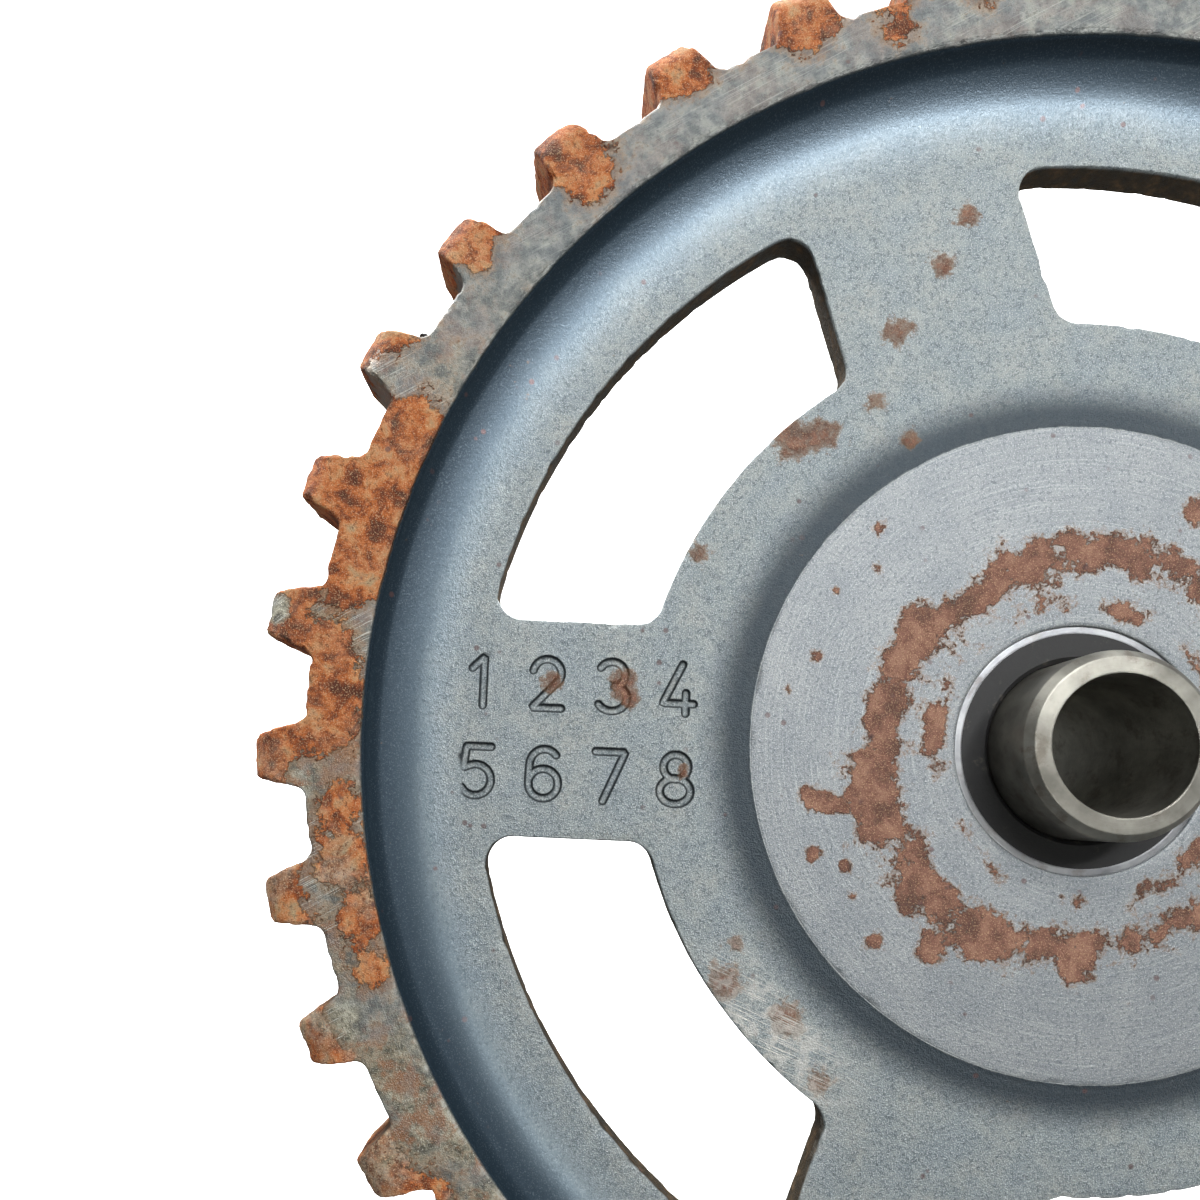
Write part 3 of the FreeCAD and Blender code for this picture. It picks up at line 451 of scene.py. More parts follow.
def scattered(inner, outer, step, chance):
    """Points in rings between two radii, evenly spaced, each ring turned by a random amount."""
    rings = []
    for radius in np.arange(inner + step * 0.8, outer - step * 0.5, step * 0.87):
        n = int(TAU * radius / step)
        angles = (np.arange(n) + chance.random()) * TAU / n
        rings.append(polar(radius, angles))
    points = np.vstack(rings)
    return points + (chance.random(points.shape) - 0.5) * step * 0.25


def away_from(points, loops, gap):
    """Keeps the points farther than gap from every loop's points."""
    keep = np.ones(len(points), bool)
    for loop in loops:
        for part in np.array_split(loop, max(1, len(loop) // 60)):
            near = np.hypot(*(points[:, None, :] - part).transpose(2, 0, 1)).min(axis=1)
            keep &= near > gap
    return points[keep]


def outside(points, loops, gap):
    """Keeps the points that lie outside every loop and farther than gap from it."""
    points = away_from(points, loops, gap)
    for loop in loops:
        points = points[~crossings(points, loop)]
    return points


def thin(points, gap):
    """Drops points that lie in a grid cell already taken."""
    cells = np.floor(points / gap).astype(int)
    _, first = np.unique(cells, axis=0, return_index=True)
    return points[np.sort(first)]


def rounding(steps, depth):
    """Insets and drops of a quarter round, from the face to the wall."""
    turn = np.linspace(0, math.pi / 2, steps + 1)
    return [(depth * (1 - math.sin(t)), depth * (1 - math.cos(t))) for t in turn]


def build_disc():
    shell = Shell()
    chance = np.random.default_rng(7)
    outline = tooth_outline()
    normal = outward(outline)
    columns = np.arange(RIM_COLUMNS) * TAU / RIM_COLUMNS + GAP_PHASE

    def rim_face(side, rows, inner_r):
        """Rows from the rim's inner edge out to the middle of the tooth width on one side."""
        inner = polar(inner_r, columns)
        inset = outline - normal * EDGE_ROUND
        loops = []
        for t in np.linspace(0, 1, rows + 1)[:-1]:
            plane = inner + (inset - inner) * t
            loops.append(shell.add(plane, side * (RIM_Y - relief(np.hypot(*plane.T)))))
        for back, drop in rounding(4, EDGE_ROUND):
            plane = outline - normal * back
            y = side * (RIM_Y - relief(np.hypot(*plane.T)) - drop)
            loops.append(shell.add(plane, y, 1.0 if back < EDGE_ROUND else 0.6))
        return loops

    front = rim_face(-1, RIM_ROWS, RIM_INNER_R + 0.25)
    back = rim_face(1, RIM_BACK_ROWS, RIM_BACK_R)
    wall = [front[-1]]
    half_width = RIM_Y - relief(np.hypot(*outline.T)) - EDGE_ROUND
    for t in np.linspace(-1, 1, TOOTH_WALL_ROWS + 1)[1:-1]:
        wall.append(shell.add(outline, half_width * t))
    wall.append(back[-1])
    shell.bands(front)
    shell.bands(back)
    shell.bands(wall)

    # rim bevel and outer cove, down to the web
    lip = [shell.ring(RIM_INNER_R - 0.02, -RIM_Y + 0.07, RIM_COLUMNS, 0.7),
           shell.ring(RIM_INNER_R - 0.25, -RIM_Y + 0.27, RIM_COLUMNS, 0.7)]
    shell.bands([front[0], *lip])
    cove = [shell.ring(r, y, COVE_COLUMNS) for r, y in cove_line()[::-1]]
    shell.band(lip[-1], cove[0])
    shell.bands(cove)

    # hub face, inner cove and the seal's bore
    inner_cove = [shell.ring(r, y, HUB_COLUMNS) for r, y in hub_line()[::-1][:-1]]
    crisp = [shell.ring(HUB_R + 0.03, HUB_Y + 0.10, HUB_COLUMNS, 0.8),
             shell.ring(HUB_R - 0.06, HUB_Y + 0.02, HUB_COLUMNS, 0.8),
             shell.ring(HUB_R - 0.2, HUB_Y, HUB_COLUMNS)]
    face = [shell.ring(r, HUB_Y, HUB_COLUMNS)
            for r in np.linspace(HUB_R - 0.8, SEAL_R + 0.5, HUB_RINGS)]
    bore = [shell.ring(SEAL_R + 0.12, HUB_Y + 0.03, HUB_COLUMNS, 0.6),
            shell.ring(SEAL_R, HUB_Y + 0.15, HUB_COLUMNS, 0.4)]
    inside = [(SEAL_R, SEAL_FLOOR_Y), (SEAL_STOP_R, SEAL_FLOOR_Y), (SEAL_STOP_R, PILOT_FLOOR_Y),
              (PILOT_R, PILOT_FLOOR_Y), (PILOT_R, PAD_Y)]
    bore += [shell.ring(r, y, HUB_COLUMNS) for r, y in inside]
    shell.bands(inner_cove + crisp + face + bore)

    # back of the rim, and the pad that the carrier sits on
    back_rings = [shell.ring(r, y, COVE_COLUMNS) for r, y in
                  [(RIM_BACK_R - 0.12, RIM_Y - 0.03),
                   ((RIM_BACK_R + RIM_BACK_FOOT_R) / 2, (RIM_Y + WEB_BACK_Y) / 2),
                   (RIM_BACK_FOOT_R + 0.1, WEB_BACK_Y + 0.04), (RIM_BACK_FOOT_R - 0.25, WEB_BACK_Y)]]
    shell.band(back[0], back_rings[0])
    shell.bands(back_rings)
    pad = [shell.ring(r, y, HUB_COLUMNS) for r, y in
           [(PAD_FOOT_R + 0.2, WEB_BACK_Y), (PAD_FOOT_R, WEB_BACK_Y + 0.05),
            (PAD_R + 0.1, PAD_Y - 0.2), (PAD_R - 0.1, PAD_Y)]]
    shell.bands(pad)

    # window walls, rounded over on both faces
    one = window_outline()
    out = outward(one)
    fronts, backs, front_planes = [], [], []
    for k in range(SPOKES):
        turn = WINDOW_PHASE + TAU * k / SPOKES
        loops = []
        for grow, drop in rounding(3, WINDOW_ROUND):
            plane = rotate(one + out * grow, turn)
            loops.append(shell.add(plane, WEB_Y + drop, 0.9 if grow else 1.0))
        heights = np.linspace(WEB_Y + WINDOW_ROUND, WEB_BACK_Y - WINDOW_ROUND, WINDOW_WALL_ROWS + 1)
        for y in heights[1:-1]:
            loops.append(shell.add(rotate(one, turn), y))
        for grow, drop in rounding(3, WINDOW_ROUND)[::-1]:
            loops.append(shell.add(rotate(one + out * grow, turn), WEB_BACK_Y - drop, 0.8))
        shell.bands(loops)
        fronts.append(loops[0])
        backs.append(loops[-1])
        front_planes.append(rotate(one + out * WINDOW_ROUND, turn))

    # web, front: scattered points, finer along the stamped strokes
    strokes = stamp_strokes()
    free = outside(scattered(HUB_FOOT_R, COVE_FOOT_R, WEB_STEP, chance), front_planes, WEB_MARGIN)
    free = free[stroke_distance(free, strokes) > STAMP_HALF + STAMP_CLEAR]
    rows = []
    for line in strokes:
        along = np.gradient(line, axis=0)
        along /= np.hypot(*along.T)[:, None]
        aside = np.stack([-along[:, 1], along[:, 0]], axis=-1)
        for shift in (0, *STAMP_ROWS):
            for sign in ((1,) if shift == 0 else (1, -1)):
                rows.append((line + aside * shift * sign, shift))
        for end, away in ((line[0], -along[0]), (line[-1], along[-1])):
            heading = math.atan2(away[1], away[0])
            for shift in STAMP_ROWS:
                fan = np.linspace(-math.pi / 2, math.pi / 2, 7)[1:-1] + heading
                rows.append((end + polar(shift, fan), shift))
    fine = []
    for points, shift in rows:
        fine.append(points[np.abs(stroke_distance(points, strokes) - shift) < 0.03])
    fine = thin(np.vstack(fine), 0.05)

    def stamped(points):
        distance = stroke_distance(points, strokes)
        depth = 1 - np.clip((distance - STAMP_FLAT) / (STAMP_HALF - STAMP_FLAT), 0, 1)
        groove = 0.2 * np.clip(1 - distance / STAMP_FLAT, 0, 1) + 0.8 * depth
        raised = np.exp(-((distance - STAMP_HALF - STAMP_LIP) / STAMP_LIP) ** 2) * STAMP_LIP_HEIGHT
        return WEB_Y + STAMP_DEPTH * groove - raised

    shell.fill([cove[-1], inner_cove[0], *fronts], np.vstack([free, fine]), stamped)

    # web, back, and the pad's face with its tapped holes and dowel holes
    free = scattered(PAD_FOOT_R, RIM_BACK_FOOT_R, WEB_BACK_STEP, chance)
    free = outside(free, front_planes, WEB_BACK_MARGIN)
    shell.fill([back_rings[-1], pad[0], *backs], free, lambda p: np.full(len(p), WEB_BACK_Y))
    holes = []
    spots = [(WINDOW_PHASE + TAU * k / SPOKES, SCREW_HOLE_R, SCREW_HOLE_Y) for k in range(SPOKES)]
    spots += [(SPOKE_PHASE + TAU * k / SPOKES, DOWEL_R, DOWEL_Y) for k in (0, 2)]
    for angle, radius, floor in spots:
        circle = polar(FIXING_R, angle) + polar(radius, np.arange(HOLE_POINTS) * TAU / HOLE_POINTS)
        top, low = shell.add(circle, PAD_Y), shell.add(circle, floor)
        shell.band(top, low)
        shell.faces.append(low.tolist())
        holes.append(top)
    middles = [polar(FIXING_R, angle)[None] for angle, _, _ in spots]
    free = away_from(scattered(PILOT_R, PAD_R, PAD_STEP, chance), middles, HOLE_MARGIN)
    shell.fill([pad[-1], bore[-1], *holes], free, lambda p: np.full(len(p), PAD_Y))
    return shell


# ---- rust and wear
def cloud(points, size, octaves=3, seed=0.0):
    """Smooth noise of this feature size in millimetres, about -1 to 1."""
    spots = (points / size + seed).tolist()
    return np.array([noise.fractal(p, 1.0, 2.0, octaves) for p in spots])


def rust_level(points):
    """How rusted the disc is: above zero it is covered. Teeth first, then patches on the faces."""
    x, y, z = points.T
    radius = np.hypot(x, z)
    angle = np.arctan2(z, x)
    level = np.full(len(points), -0.75)
    on_rim = radius > RIM_INNER_R - 0.4
    browner = np.clip(np.sin(angle * 2.0 + 1.35) + 0.8 * cloud(points, 22.0, 2, 83.0), -1, 1)
    on_teeth = (radius - TOOTH_RUST_R) / TOOTH_RUST_RUN
    level = np.where(on_rim, np.maximum(on_teeth, -0.62 + 0.34 * browner), level)
    level = np.minimum(level, 0.6)
    level = np.where(on_rim & (radius < ROOT_WALL_R) & (np.abs(y) < RIM_Y - 0.3), 0.15, level)

    def spots(patches, where):
        total = np.zeros(len(points))
        for degrees, at, reach, amount in patches:
            cx, cz = polar(at, math.radians(degrees))
            near = np.hypot(x - cx, z - cz) / reach
            total += amount * np.exp(-near ** 2) * 1.5
        return np.where(where, total, 0)

    level += spots(RIM_PATCHES, on_rim)
    level += spots(FACE_PATCHES, ~on_rim & (y < OUTER_SIDE_Y))
    # a broken ring of rust on the hub face, and one round the seal
    broken = cloud(points, 7.0, 3, 61.0)
    waver = 0.8 * np.sin(2 * angle + 0.4) + 1.5 * broken
    turned = np.exp(-((radius - HUB_RUST_R - waver) / HUB_RUST_HALF) ** 2)
    ring = turned * (1.15 + 0.7 * broken + 0.3 * np.cos(angle - math.pi))
    ring += np.exp(-((radius - SEAL_RUST_R) / SEAL_RUST_HALF) ** 2) * (0.7 - 1.2 * broken)
    level += np.where(~on_rim & (y < OUTER_SIDE_Y) & (radius > SEAL_R - 0.2), ring, 0)
    # window walls and the back
    in_window = (radius > WINDOW_INNER_R - 0.8) & (radius < WINDOW_OUTER_R + 0.6)
    in_window &= (y > WEB_Y + 0.5) & (y < WEB_BACK_Y - 0.1)
    level = np.where(in_window, 0.25, level)
    level = np.where(~on_rim & (y > WEB_BACK_Y - 0.05), -0.35, level)
    return level


def weather(shell):
    """Moves the points along their normals for pits, swollen rust and chipped edges."""
    points = np.vstack(shell.points)
    edge = np.concatenate(shell.edge)
    mesh = bpy.data.meshes.new("plain_disc")
    mesh.from_pydata(points.tolist(), [], shell.faces)
    work = bmesh.new()
    work.from_mesh(mesh)
    bmesh.ops.recalc_face_normals(work, faces=work.faces)
    work.to_mesh(mesh)
    work.free()
    mesh.update()
    normal = np.zeros(len(points) * 3, np.float32)
    mesh.vertices.foreach_get("normal", normal)
    normal = normal.reshape(-1, 3).astype(float)

    radius = np.hypot(points[:, 0], points[:, 2])
    seen = (radius > SEAL_R + 0.3) & ((points[:, 1] < OUTER_SIDE_Y) | (radius > PAD_FOOT_R))
    level = rust_level(points)
    large = cloud(points, 5.0, 2, 3.1)
    small = cloud(points, 1.1, 3, 11.7)
    grain = cloud(points, 0.55, 2, 23.9)
    rusted = np.clip((level + 0.45 * small + 0.25 * large) * 2.5, 0, 1)
    on_rim = radius > RIM_INNER_R
    swell = rusted * np.where(on_rim, 0.05 + 0.085 * grain + 0.06 * small, 0.02 + 0.02 * grain)
    smooth = np.where(radius > COVE_FOOT_R, 0.0, 0.005 * large)
    pitted = 0.018 * grain - 0.05 * np.clip(small - 0.35, 0, 1)
    bare = (1 - rusted) * np.where(on_rim, pitted, smooth)
    chips = -edge * np.clip(cloud(points, 1.7, 2, 41.0) - 0.12, 0, 1) * np.where(on_rim, 0.55, 0.42)
    move = np.where(seen, swell + bare + chips, 0)
    points = points + normal * move[:, None]
    mesh.vertices.foreach_set("co", (points * MM).ravel())
    distance = stroke_distance(points[:, [0, 2]], stamp_strokes())
    # the marks are darkest along their sloping sides
    stamp = np.exp(-((distance - 0.41) / 0.11) ** 2) + 0.3 * (distance < 0.3)
    stamp[points[:, 1] > OUTER_SIDE_Y] = 0
    for name, values in (("rust", level), ("edge", edge), ("stamp", stamp)):
        layer = mesh.attributes.new(name, "FLOAT", "POINT")
        layer.data.foreach_set("value", np.asarray(values, np.float32))
    shade_smooth(mesh)
    mesh.update()
    return mesh


# ---- node materials
def srgb(red, green, blue):
    """A colour given as it looks on a screen, 0 to 255, as scene light."""
    def channel(value):
        value /= 255
        return value / 12.92 if value <= 0.04045 else ((value + 0.055) / 1.055) ** 2.4
    return (channel(red), channel(green), channel(blue), 1.0)


class Paint:
    """Builds one node material; each method adds a node and gives back its output."""

    def __init__(self, name):
        self.material = bpy.data.materials.new(name)
        self.material.use_nodes = True
        self.tree = self.material.node_tree
        self.shader = self.tree.nodes["Principled BSDF"]
        self.place = self.new("ShaderNodeTexCoord").outputs["Object"]

    def new(self, kind, **settings):
        node = self.tree.nodes.new(kind)
        for key, value in settings.items():
            setattr(node, key, value)
        return node

    def put(self, socket, value):
        """Links an output or sets a value; three numbers are a colour as it looks on a screen."""
        if isinstance(value, bpy.types.NodeSocket):
            self.tree.links.new(value, socket)
        elif isinstance(value, tuple):
            socket.default_value = srgb(*value)
        else:
            socket.default_value = value

    def math(self, operation, *values):
        node = self.new("ShaderNodeMath", operation=operation)
        for socket, value in zip(node.inputs, values):
            self.put(socket, value)
        return node.outputs[0]

    def times(self, a, b):
        return self.math("MULTIPLY", a, b)

    def attribute(self, name):
        return self.new("ShaderNodeAttribute", attribute_name=name).outputs["Fac"]

    def noise(self, size, detail=3.0, rough=0.55, vector=None, distortion=0.0):
        """Noise with features of this size in millimetres, 0 to 1."""
        node = self.new("ShaderNodeTexNoise")
        self.put(node.inputs["Vector"], self.place if vector is None else vector)
        node.inputs["Scale"].default_value = 1 / (size * MM)
        node.inputs["Detail"].default_value = detail
        node.inputs["Roughness"].default_value = rough
        node.inputs["Distortion"].default_value = distortion
        return node.outputs["Fac"]

    def cells(self, size):
        """Distance from the nearest of many spots that lie about this many millimetres apart."""
        node = self.new("ShaderNodeTexVoronoi")
        self.put(node.inputs["Vector"], self.place)
        node.inputs["Scale"].default_value = 1 / (size * MM)
        return node.outputs["Distance"]

    def step(self, value, low, high, to_low=0.0, to_high=1.0):
        """Runs smoothly from to_low to to_high while value runs from low to high."""
        node = self.new("ShaderNodeMapRange", interpolation_type="SMOOTHSTEP")
        for socket, number in zip(node.inputs, (value, low, high, to_low, to_high)):
            self.put(socket, number)
        return node.outputs[0]

    def mix(self, share, a, b):
        """Colour a, with this share of colour b."""
        node = self.new("ShaderNodeMix", data_type="RGBA", clamp_factor=True)
        self.put(node.inputs[0], share)
        self.put(node.inputs[6], a)
        self.put(node.inputs[7], b)
        return node.outputs[2]

    def blend(self, share, a, b):
        """Number a, with this share of number b."""
        node = self.new("ShaderNodeMix", data_type="FLOAT", clamp_factor=True)
        self.put(node.inputs[0], share)
        self.put(node.inputs[2], a)
        self.put(node.inputs[3], b)
        return node.outputs[0]

    def ramp(self, value, stops):
        node = self.new("ShaderNodeValToRGB")
        self.put(node.inputs[0], value)
        elements = node.color_ramp.elements
        while len(elements) < len(stops):
            elements.new(0.5)
        for element, (position, colour) in zip(elements, stops):
            element.position, element.color = position, srgb(*colour)
        return node.outputs["Color"]

    def round_the_axle(self, across, along):
        """Place vector stretched along circles round the axle: streaks that wide and that long."""
        x, _, z = self.axes()
        radius = self.radius()
        turns = STREAK_R / along * MM
        parts = [self.times(self.math("DIVIDE", x, radius), turns),
                 self.times(self.math("DIVIDE", z, radius), turns),
                 self.times(radius, 1 / across)]
        join = self.new("ShaderNodeCombineXYZ")
        for socket, part in zip(join.inputs, parts):
            self.put(socket, part)
        return join.outputs[0]

    def slanted(self, degrees, across, along):
        """Place vector stretched along one direction in the disc's plane: streaks that wide and long."""
        turn = self.new("ShaderNodeMapping")
        self.put(turn.inputs["Vector"], self.place)
        turn.inputs["Rotation"].default_value = (0, math.radians(degrees), 0)
        scale = self.new("ShaderNodeVectorMath", operation="MULTIPLY")
        self.put(scale.inputs[0], turn.outputs[0])
        scale.inputs[1].default_value = (1 / along, 1 / along, 1 / across)
        return scale.outputs[0]

    def axes(self):
        if not hasattr(self, "_axes"):
            self._axes = self.new("ShaderNodeSeparateXYZ")
            self.put(self._axes.inputs[0], self.place)
        return self._axes.outputs

    def radius(self):
        """Distance from the axle in metres."""
        if not hasattr(self, "_radius"):
            x, _, z = self.axes()
            both = self.math("ADD", self.times(x, x), self.times(z, z))
            self._radius = self.math("SQRT", both)
        return self._radius

    def bump(self, height, depth, under=None):
        """Bump of this depth in millimetres on top of another normal."""
        node = self.new("ShaderNodeBump")
        node.inputs["Strength"].default_value = 1.0
        node.inputs["Distance"].default_value = depth * MM
        self.put(node.inputs["Height"], height)
        if under is not None:
            self.put(node.inputs["Normal"], under)
        return node.outputs[0]

    def finish(self, colour, rough, metal, normal):
        for key, value in (("Base Color", colour), ("Roughness", rough), ("Metallic", metal)):
            self.put(self.shader.inputs[key], value)
        if normal is not None:
            self.put(self.shader.inputs["Normal"], normal)
        return self.material


def sprocket_steel():
    p = Paint("sprocket_steel")
    radius = p.times(p.radius(), 1 / MM)
    x, y, height = p.axes()
    on_rim = p.step(radius, RIM_INNER_R - 0.45, RIM_INNER_R - 0.15)
    on_hub = p.step(radius, HUB_R + 0.05, HUB_R - 0.05)
    front = p.step(y, (WEB_Y + 1.5) * MM, (WEB_Y + 1.1) * MM)
    off_rim = p.times(p.math("SUBTRACT", 1.0, on_rim), front)
    in_cove = p.times(p.step(radius, COVE_FOOT_R - 1.0, COVE_FOOT_R + 6.0), off_rim)
    # painted shade: the outer cove darkens towards the rim's wall
    painted_wall_shade = p.times(p.step(radius, COVE_FOOT_R + 0.2, RIM_INNER_R - 2.6), off_rim)
    # painted shade: the inner cove darkens towards the hub face's edge
    painted_hub_shade = p.times(p.step(radius, HUB_FOOT_R + 1.4, HUB_R + 1.6), p.step(radius, HUB_R, HUB_R + 0.1))
    pits = p.noise(0.75, 5, 0.78)
    level = p.attribute("rust")
    edge = p.attribute("edge")

    patchy = p.noise(6.0, 3, 0.6)
    mottle = p.noise(1.6, 4, 0.65)
    fine = p.noise(0.42, 4, 0.7)
    grit = p.noise(0.16, 2, 0.6)

    # bare surfaces
    web = p.ramp(patchy, [(0.36, (146, 156, 160)), (0.5, (153, 161, 161)),
                          (0.66, (164, 168, 164))])
    web = p.mix(p.times(p.step(mottle, 0.46, 0.6), 0.5), web, (126, 139, 143))
    web = p.mix(p.step(fine, 0.5, 0.62, 0, 0.7), web, (96, 108, 113))
    web = p.mix(p.step(grit, 0.52, 0.62, 0, 0.85), web, (198, 205, 206))
    cove = p.ramp(patchy, [(0.3, (104, 121, 132)), (0.7, (118, 133, 141))])
    # painted shade darkens the cove's blue-grey colour towards the rim's wall
    cove = p.mix(painted_wall_shade, cove, (42, 58, 70))
    cove = p.mix(p.step(fine, 0.5, 0.66, 0, 0.4), cove, (48, 60, 69))
    cove = p.mix(p.step(grit, 0.55, 0.66, 0, 0.18), cove, (138, 152, 160))
    hub = p.ramp(patchy, [(0.3, (138, 144, 148)), (0.7, (155, 159, 160))])
    arcs = p.noise(1.0, 2, 0.5, p.round_the_axle(0.16, 22.0))
    hub = p.mix(p.step(arcs, 0.56, 0.68, 0, 0.55), hub, (126, 133, 138))
    hub = p.mix(p.step(arcs, 0.42, 0.32, 0, 0.35), hub, (190, 194, 194))
    hub = p.mix(p.step(fine, 0.5, 0.64, 0, 0.75), hub, (108, 117, 123))
    hub = p.mix(p.step(grit, 0.54, 0.66, 0, 0.7), hub, (200, 204, 204))
    rim = p.ramp(mottle, [(0.36, (108, 114, 117)), (0.5, (130, 135, 135)),
                          (0.62, (150, 153, 149))])
    rim = p.mix(p.step(fine, 0.53, 0.68, 0, 0.5), rim, (78, 84, 87))
    low_left = p.step(height, 10 * MM, -25 * MM)
    browned = p.step(height, 62 * MM, 12 * MM)
    olive = p.ramp(mottle, [(0.38, (98, 95, 82)), (0.5, (152, 147, 127)),
                            (0.6, (190, 186, 166))])
    olive = p.mix(p.step(fine, 0.53, 0.66, 0, 0.6), olive, (80, 70, 56))
    olive = p.mix(p.step(p.noise(3.4, 4, 0.65), 0.47, 0.6, 0, 0.8), olive, (160, 110, 76))
    olive = p.mix(p.step(grit, 0.56, 0.68, 0, 0.7), olive, (208, 205, 190))
    aged = p.times(p.step(patchy, 0.34, 0.58, 0.35, 1.0), p.blend(browned, 0.2, 0.95))
    rim = p.mix(aged, rim, olive)
    streak = p.noise(1.0, 2, 0.5, p.round_the_axle(0.1, 9.0))
    scratch = p.noise(1.0, 1, 0.4, p.slanted(28, 0.09, 7.0))
    scored = p.times(p.step(scratch, 0.6, 0.66), p.step(p.noise(16.0, 1), 0.4, 0.5))
    scored = p.times(scored, p.blend(browned, 0.3, 0.9))
    rim = p.mix(p.times(p.step(streak, 0.62, 0.74), p.blend(low_left, 0.15, 0.6)), rim,
                (184, 184, 176))
    rim = p.mix(scored, rim, (206, 207, 198))
    colour = p.mix(in_cove, web, cove)
    # painted shade in the inner cove, darkest by the hub face's edge
    colour = p.mix(p.times(painted_hub_shade, 0.92), colour, (60, 70, 78))
    colour = p.mix(on_hub, colour, hub)
    colour = p.mix(on_rim, colour, rim)
    worn = p.times(p.step(edge, 0.5, 0.8), p.step(mottle, 0.47, 0.6))
    colour = p.mix(p.times(worn, p.blend(on_rim, 0.3, 0.6)), colour, (190, 193, 190))
    colour = p.mix(p.times(p.step(p.attribute("stamp"), 0.15, 0.8), 0.92), colour, (30, 38, 43))

    # rust with a ragged border
    ragged = level
    for field, amount in ((mottle, 1.9), (patchy, 1.1), (fine, 0.9)):
        ragged = p.math("ADD", ragged, p.times(p.math("SUBTRACT", field, 0.5), amount))
    thick = p.step(ragged, -0.02, 0.12)
    speckled = p.times(p.step(ragged, -0.1, 0.5), p.step(pits, 0.36, 0.56, 0.25, 1.0))
    covered = p.blend(on_rim, p.blend(on_hub, speckled, thick), thick)
    covered = p.times(covered, p.blend(on_rim, 0.86, 1.0))
    stained = p.step(ragged, p.blend(on_rim, -0.3, -0.6), 0.1, 0, 0.62)
    hue = p.noise(2.6, 6, 0.66, distortion=0.4)
    rust = p.ramp(hue, [(0.36, (88, 46, 28)), (0.44, (146, 74, 36)), (0.5, (190, 106, 52)),
                        (0.58, (202, 140, 90)), (0.7, (178, 154, 118))])
    rust = p.mix(p.times(p.step(patchy, 0.42, 0.6), p.blend(low_left, 0.1, 0.75)), rust, olive)
    red = p.ramp(hue, [(0.38, (92, 56, 46)), (0.5, (134, 88, 72)), (0.62, (164, 120, 98))])
    rust = p.mix(on_rim, red, rust)
    rust = p.mix(p.times(p.step(pits, 0.53, 0.63), p.blend(on_rim, 0.4, 0.8)), rust, (104, 54, 32))
    rust = p.mix(p.step(fine, 0.56, 0.68, 0, 0.5), rust, (84, 46, 30))
    rust = p.mix(p.step(grit, 0.54, 0.66, 0, 0.6), rust, (222, 182, 138))
    # painted shade: the tooth gaps' walls darken towards the roots; it is mixed into the rust colour
    gap_wall_shade = p.times(on_rim, p.step(p.math("ABSOLUTE", y), (RIM_Y - 0.5) * MM, (RIM_Y - 1.5) * MM))
    gap_wall_shade = p.times(gap_wall_shade, p.step(radius, *GAP_SHADE_R))
    rust = p.mix(p.times(gap_wall_shade, 0.6), rust, (84, 52, 38))
    deep = p.times(p.step(y, (WEB_Y + 0.1) * MM, (WEB_Y + 0.55) * MM),
                   p.step(y, (WEB_BACK_Y - 0.02) * MM, (WEB_BACK_Y - 0.2) * MM))
    beyond_inner = p.step(radius, WINDOW_INNER_R - 0.7, WINDOW_INNER_R - 0.4)
    deep = p.times(deep, p.times(beyond_inner, p.step(radius, WINDOW_OUTER_R + 1.0, WINDOW_OUTER_R + 0.7)))
    deep = p.times(deep, p.step(p.attribute("stamp"), 0.05, 0.0))
    colour = p.mix(stained, colour, (150, 116, 84))
    colour = p.mix(covered, colour, rust)

    # the window walls turn a dark brown
    dark_wall = p.ramp(mottle, [(0.3, (46, 40, 30)), (0.52, (72, 62, 44)), (0.7, (112, 88, 60))])
    colour = p.mix(p.times(deep, 0.94), colour, dark_wall)

    # a painted glare: a bright highlight low on the web, broken into blotches and slanted streaks
    aside = p.math("SUBTRACT", x, GLARE_AT[0] * MM)
    above = p.math("SUBTRACT", height, GLARE_AT[1] * MM)
    away = p.math("SQRT", p.math("ADD", p.times(aside, aside), p.times(above, above)))
    painted_glare = p.times(p.step(away, GLARE_REACH * MM, 0.2 * GLARE_REACH * MM), front)
    lines = p.noise(1.0, 1, 0.4, p.slanted(-24, 0.12, 5.0))
    glare_breakup = p.math("MAXIMUM", p.step(mottle, 0.44, 0.6, 0, 0.7), p.step(lines, 0.56, 0.64))
    painted_glare = p.times(p.times(painted_glare, glare_breakup), p.step(radius, HUB_FOOT_R, HUB_FOOT_R + 2))
    # painted highlight: the glare is mixed in as near-white colour
    colour = p.mix(p.times(painted_glare, 0.95), colour, (226, 224, 216))
    # sparse purple-brown dots
    dots = p.times(p.step(p.cells(2.6), 0.16, 0.08), p.step(p.noise(9.0, 2), 0.52, 0.6))
    colour = p.mix(p.times(dots, 0.7), colour, (104, 78, 76))

    bare_rough = p.blend(in_cove, p.blend(fine, 0.36, 0.6), p.blend(fine, 0.26, 0.36))
    bare_rough = p.blend(on_rim, bare_rough, p.blend(mottle, 0.34, 0.6))
    rough = p.blend(covered, bare_rough, p.blend(fine, 0.78, 0.95))
    metal = p.blend(covered, 0.5, 0.0)

    stipple = p.math("ADD", p.times(fine, 0.6), p.times(grit, 0.4))
    depth = p.blend(in_cove, 1.0, 0.1)
    depth = p.blend(on_rim, p.blend(on_hub, depth, 0.6), 1.0)
    normal = p.bump(p.times(stipple, depth), 0.3)
    normal = p.bump(p.times(streak, on_rim), 0.03, normal)
    crust = p.times(p.math("SUBTRACT", 1.2, p.math("ADD", pits, p.times(fine, 0.5))), covered)
    normal = p.bump(crust, 0.34, normal)
    p.shader.inputs["Specular IOR Level"].default_value = 0.5
    return p.finish(colour, rough, metal, normal)


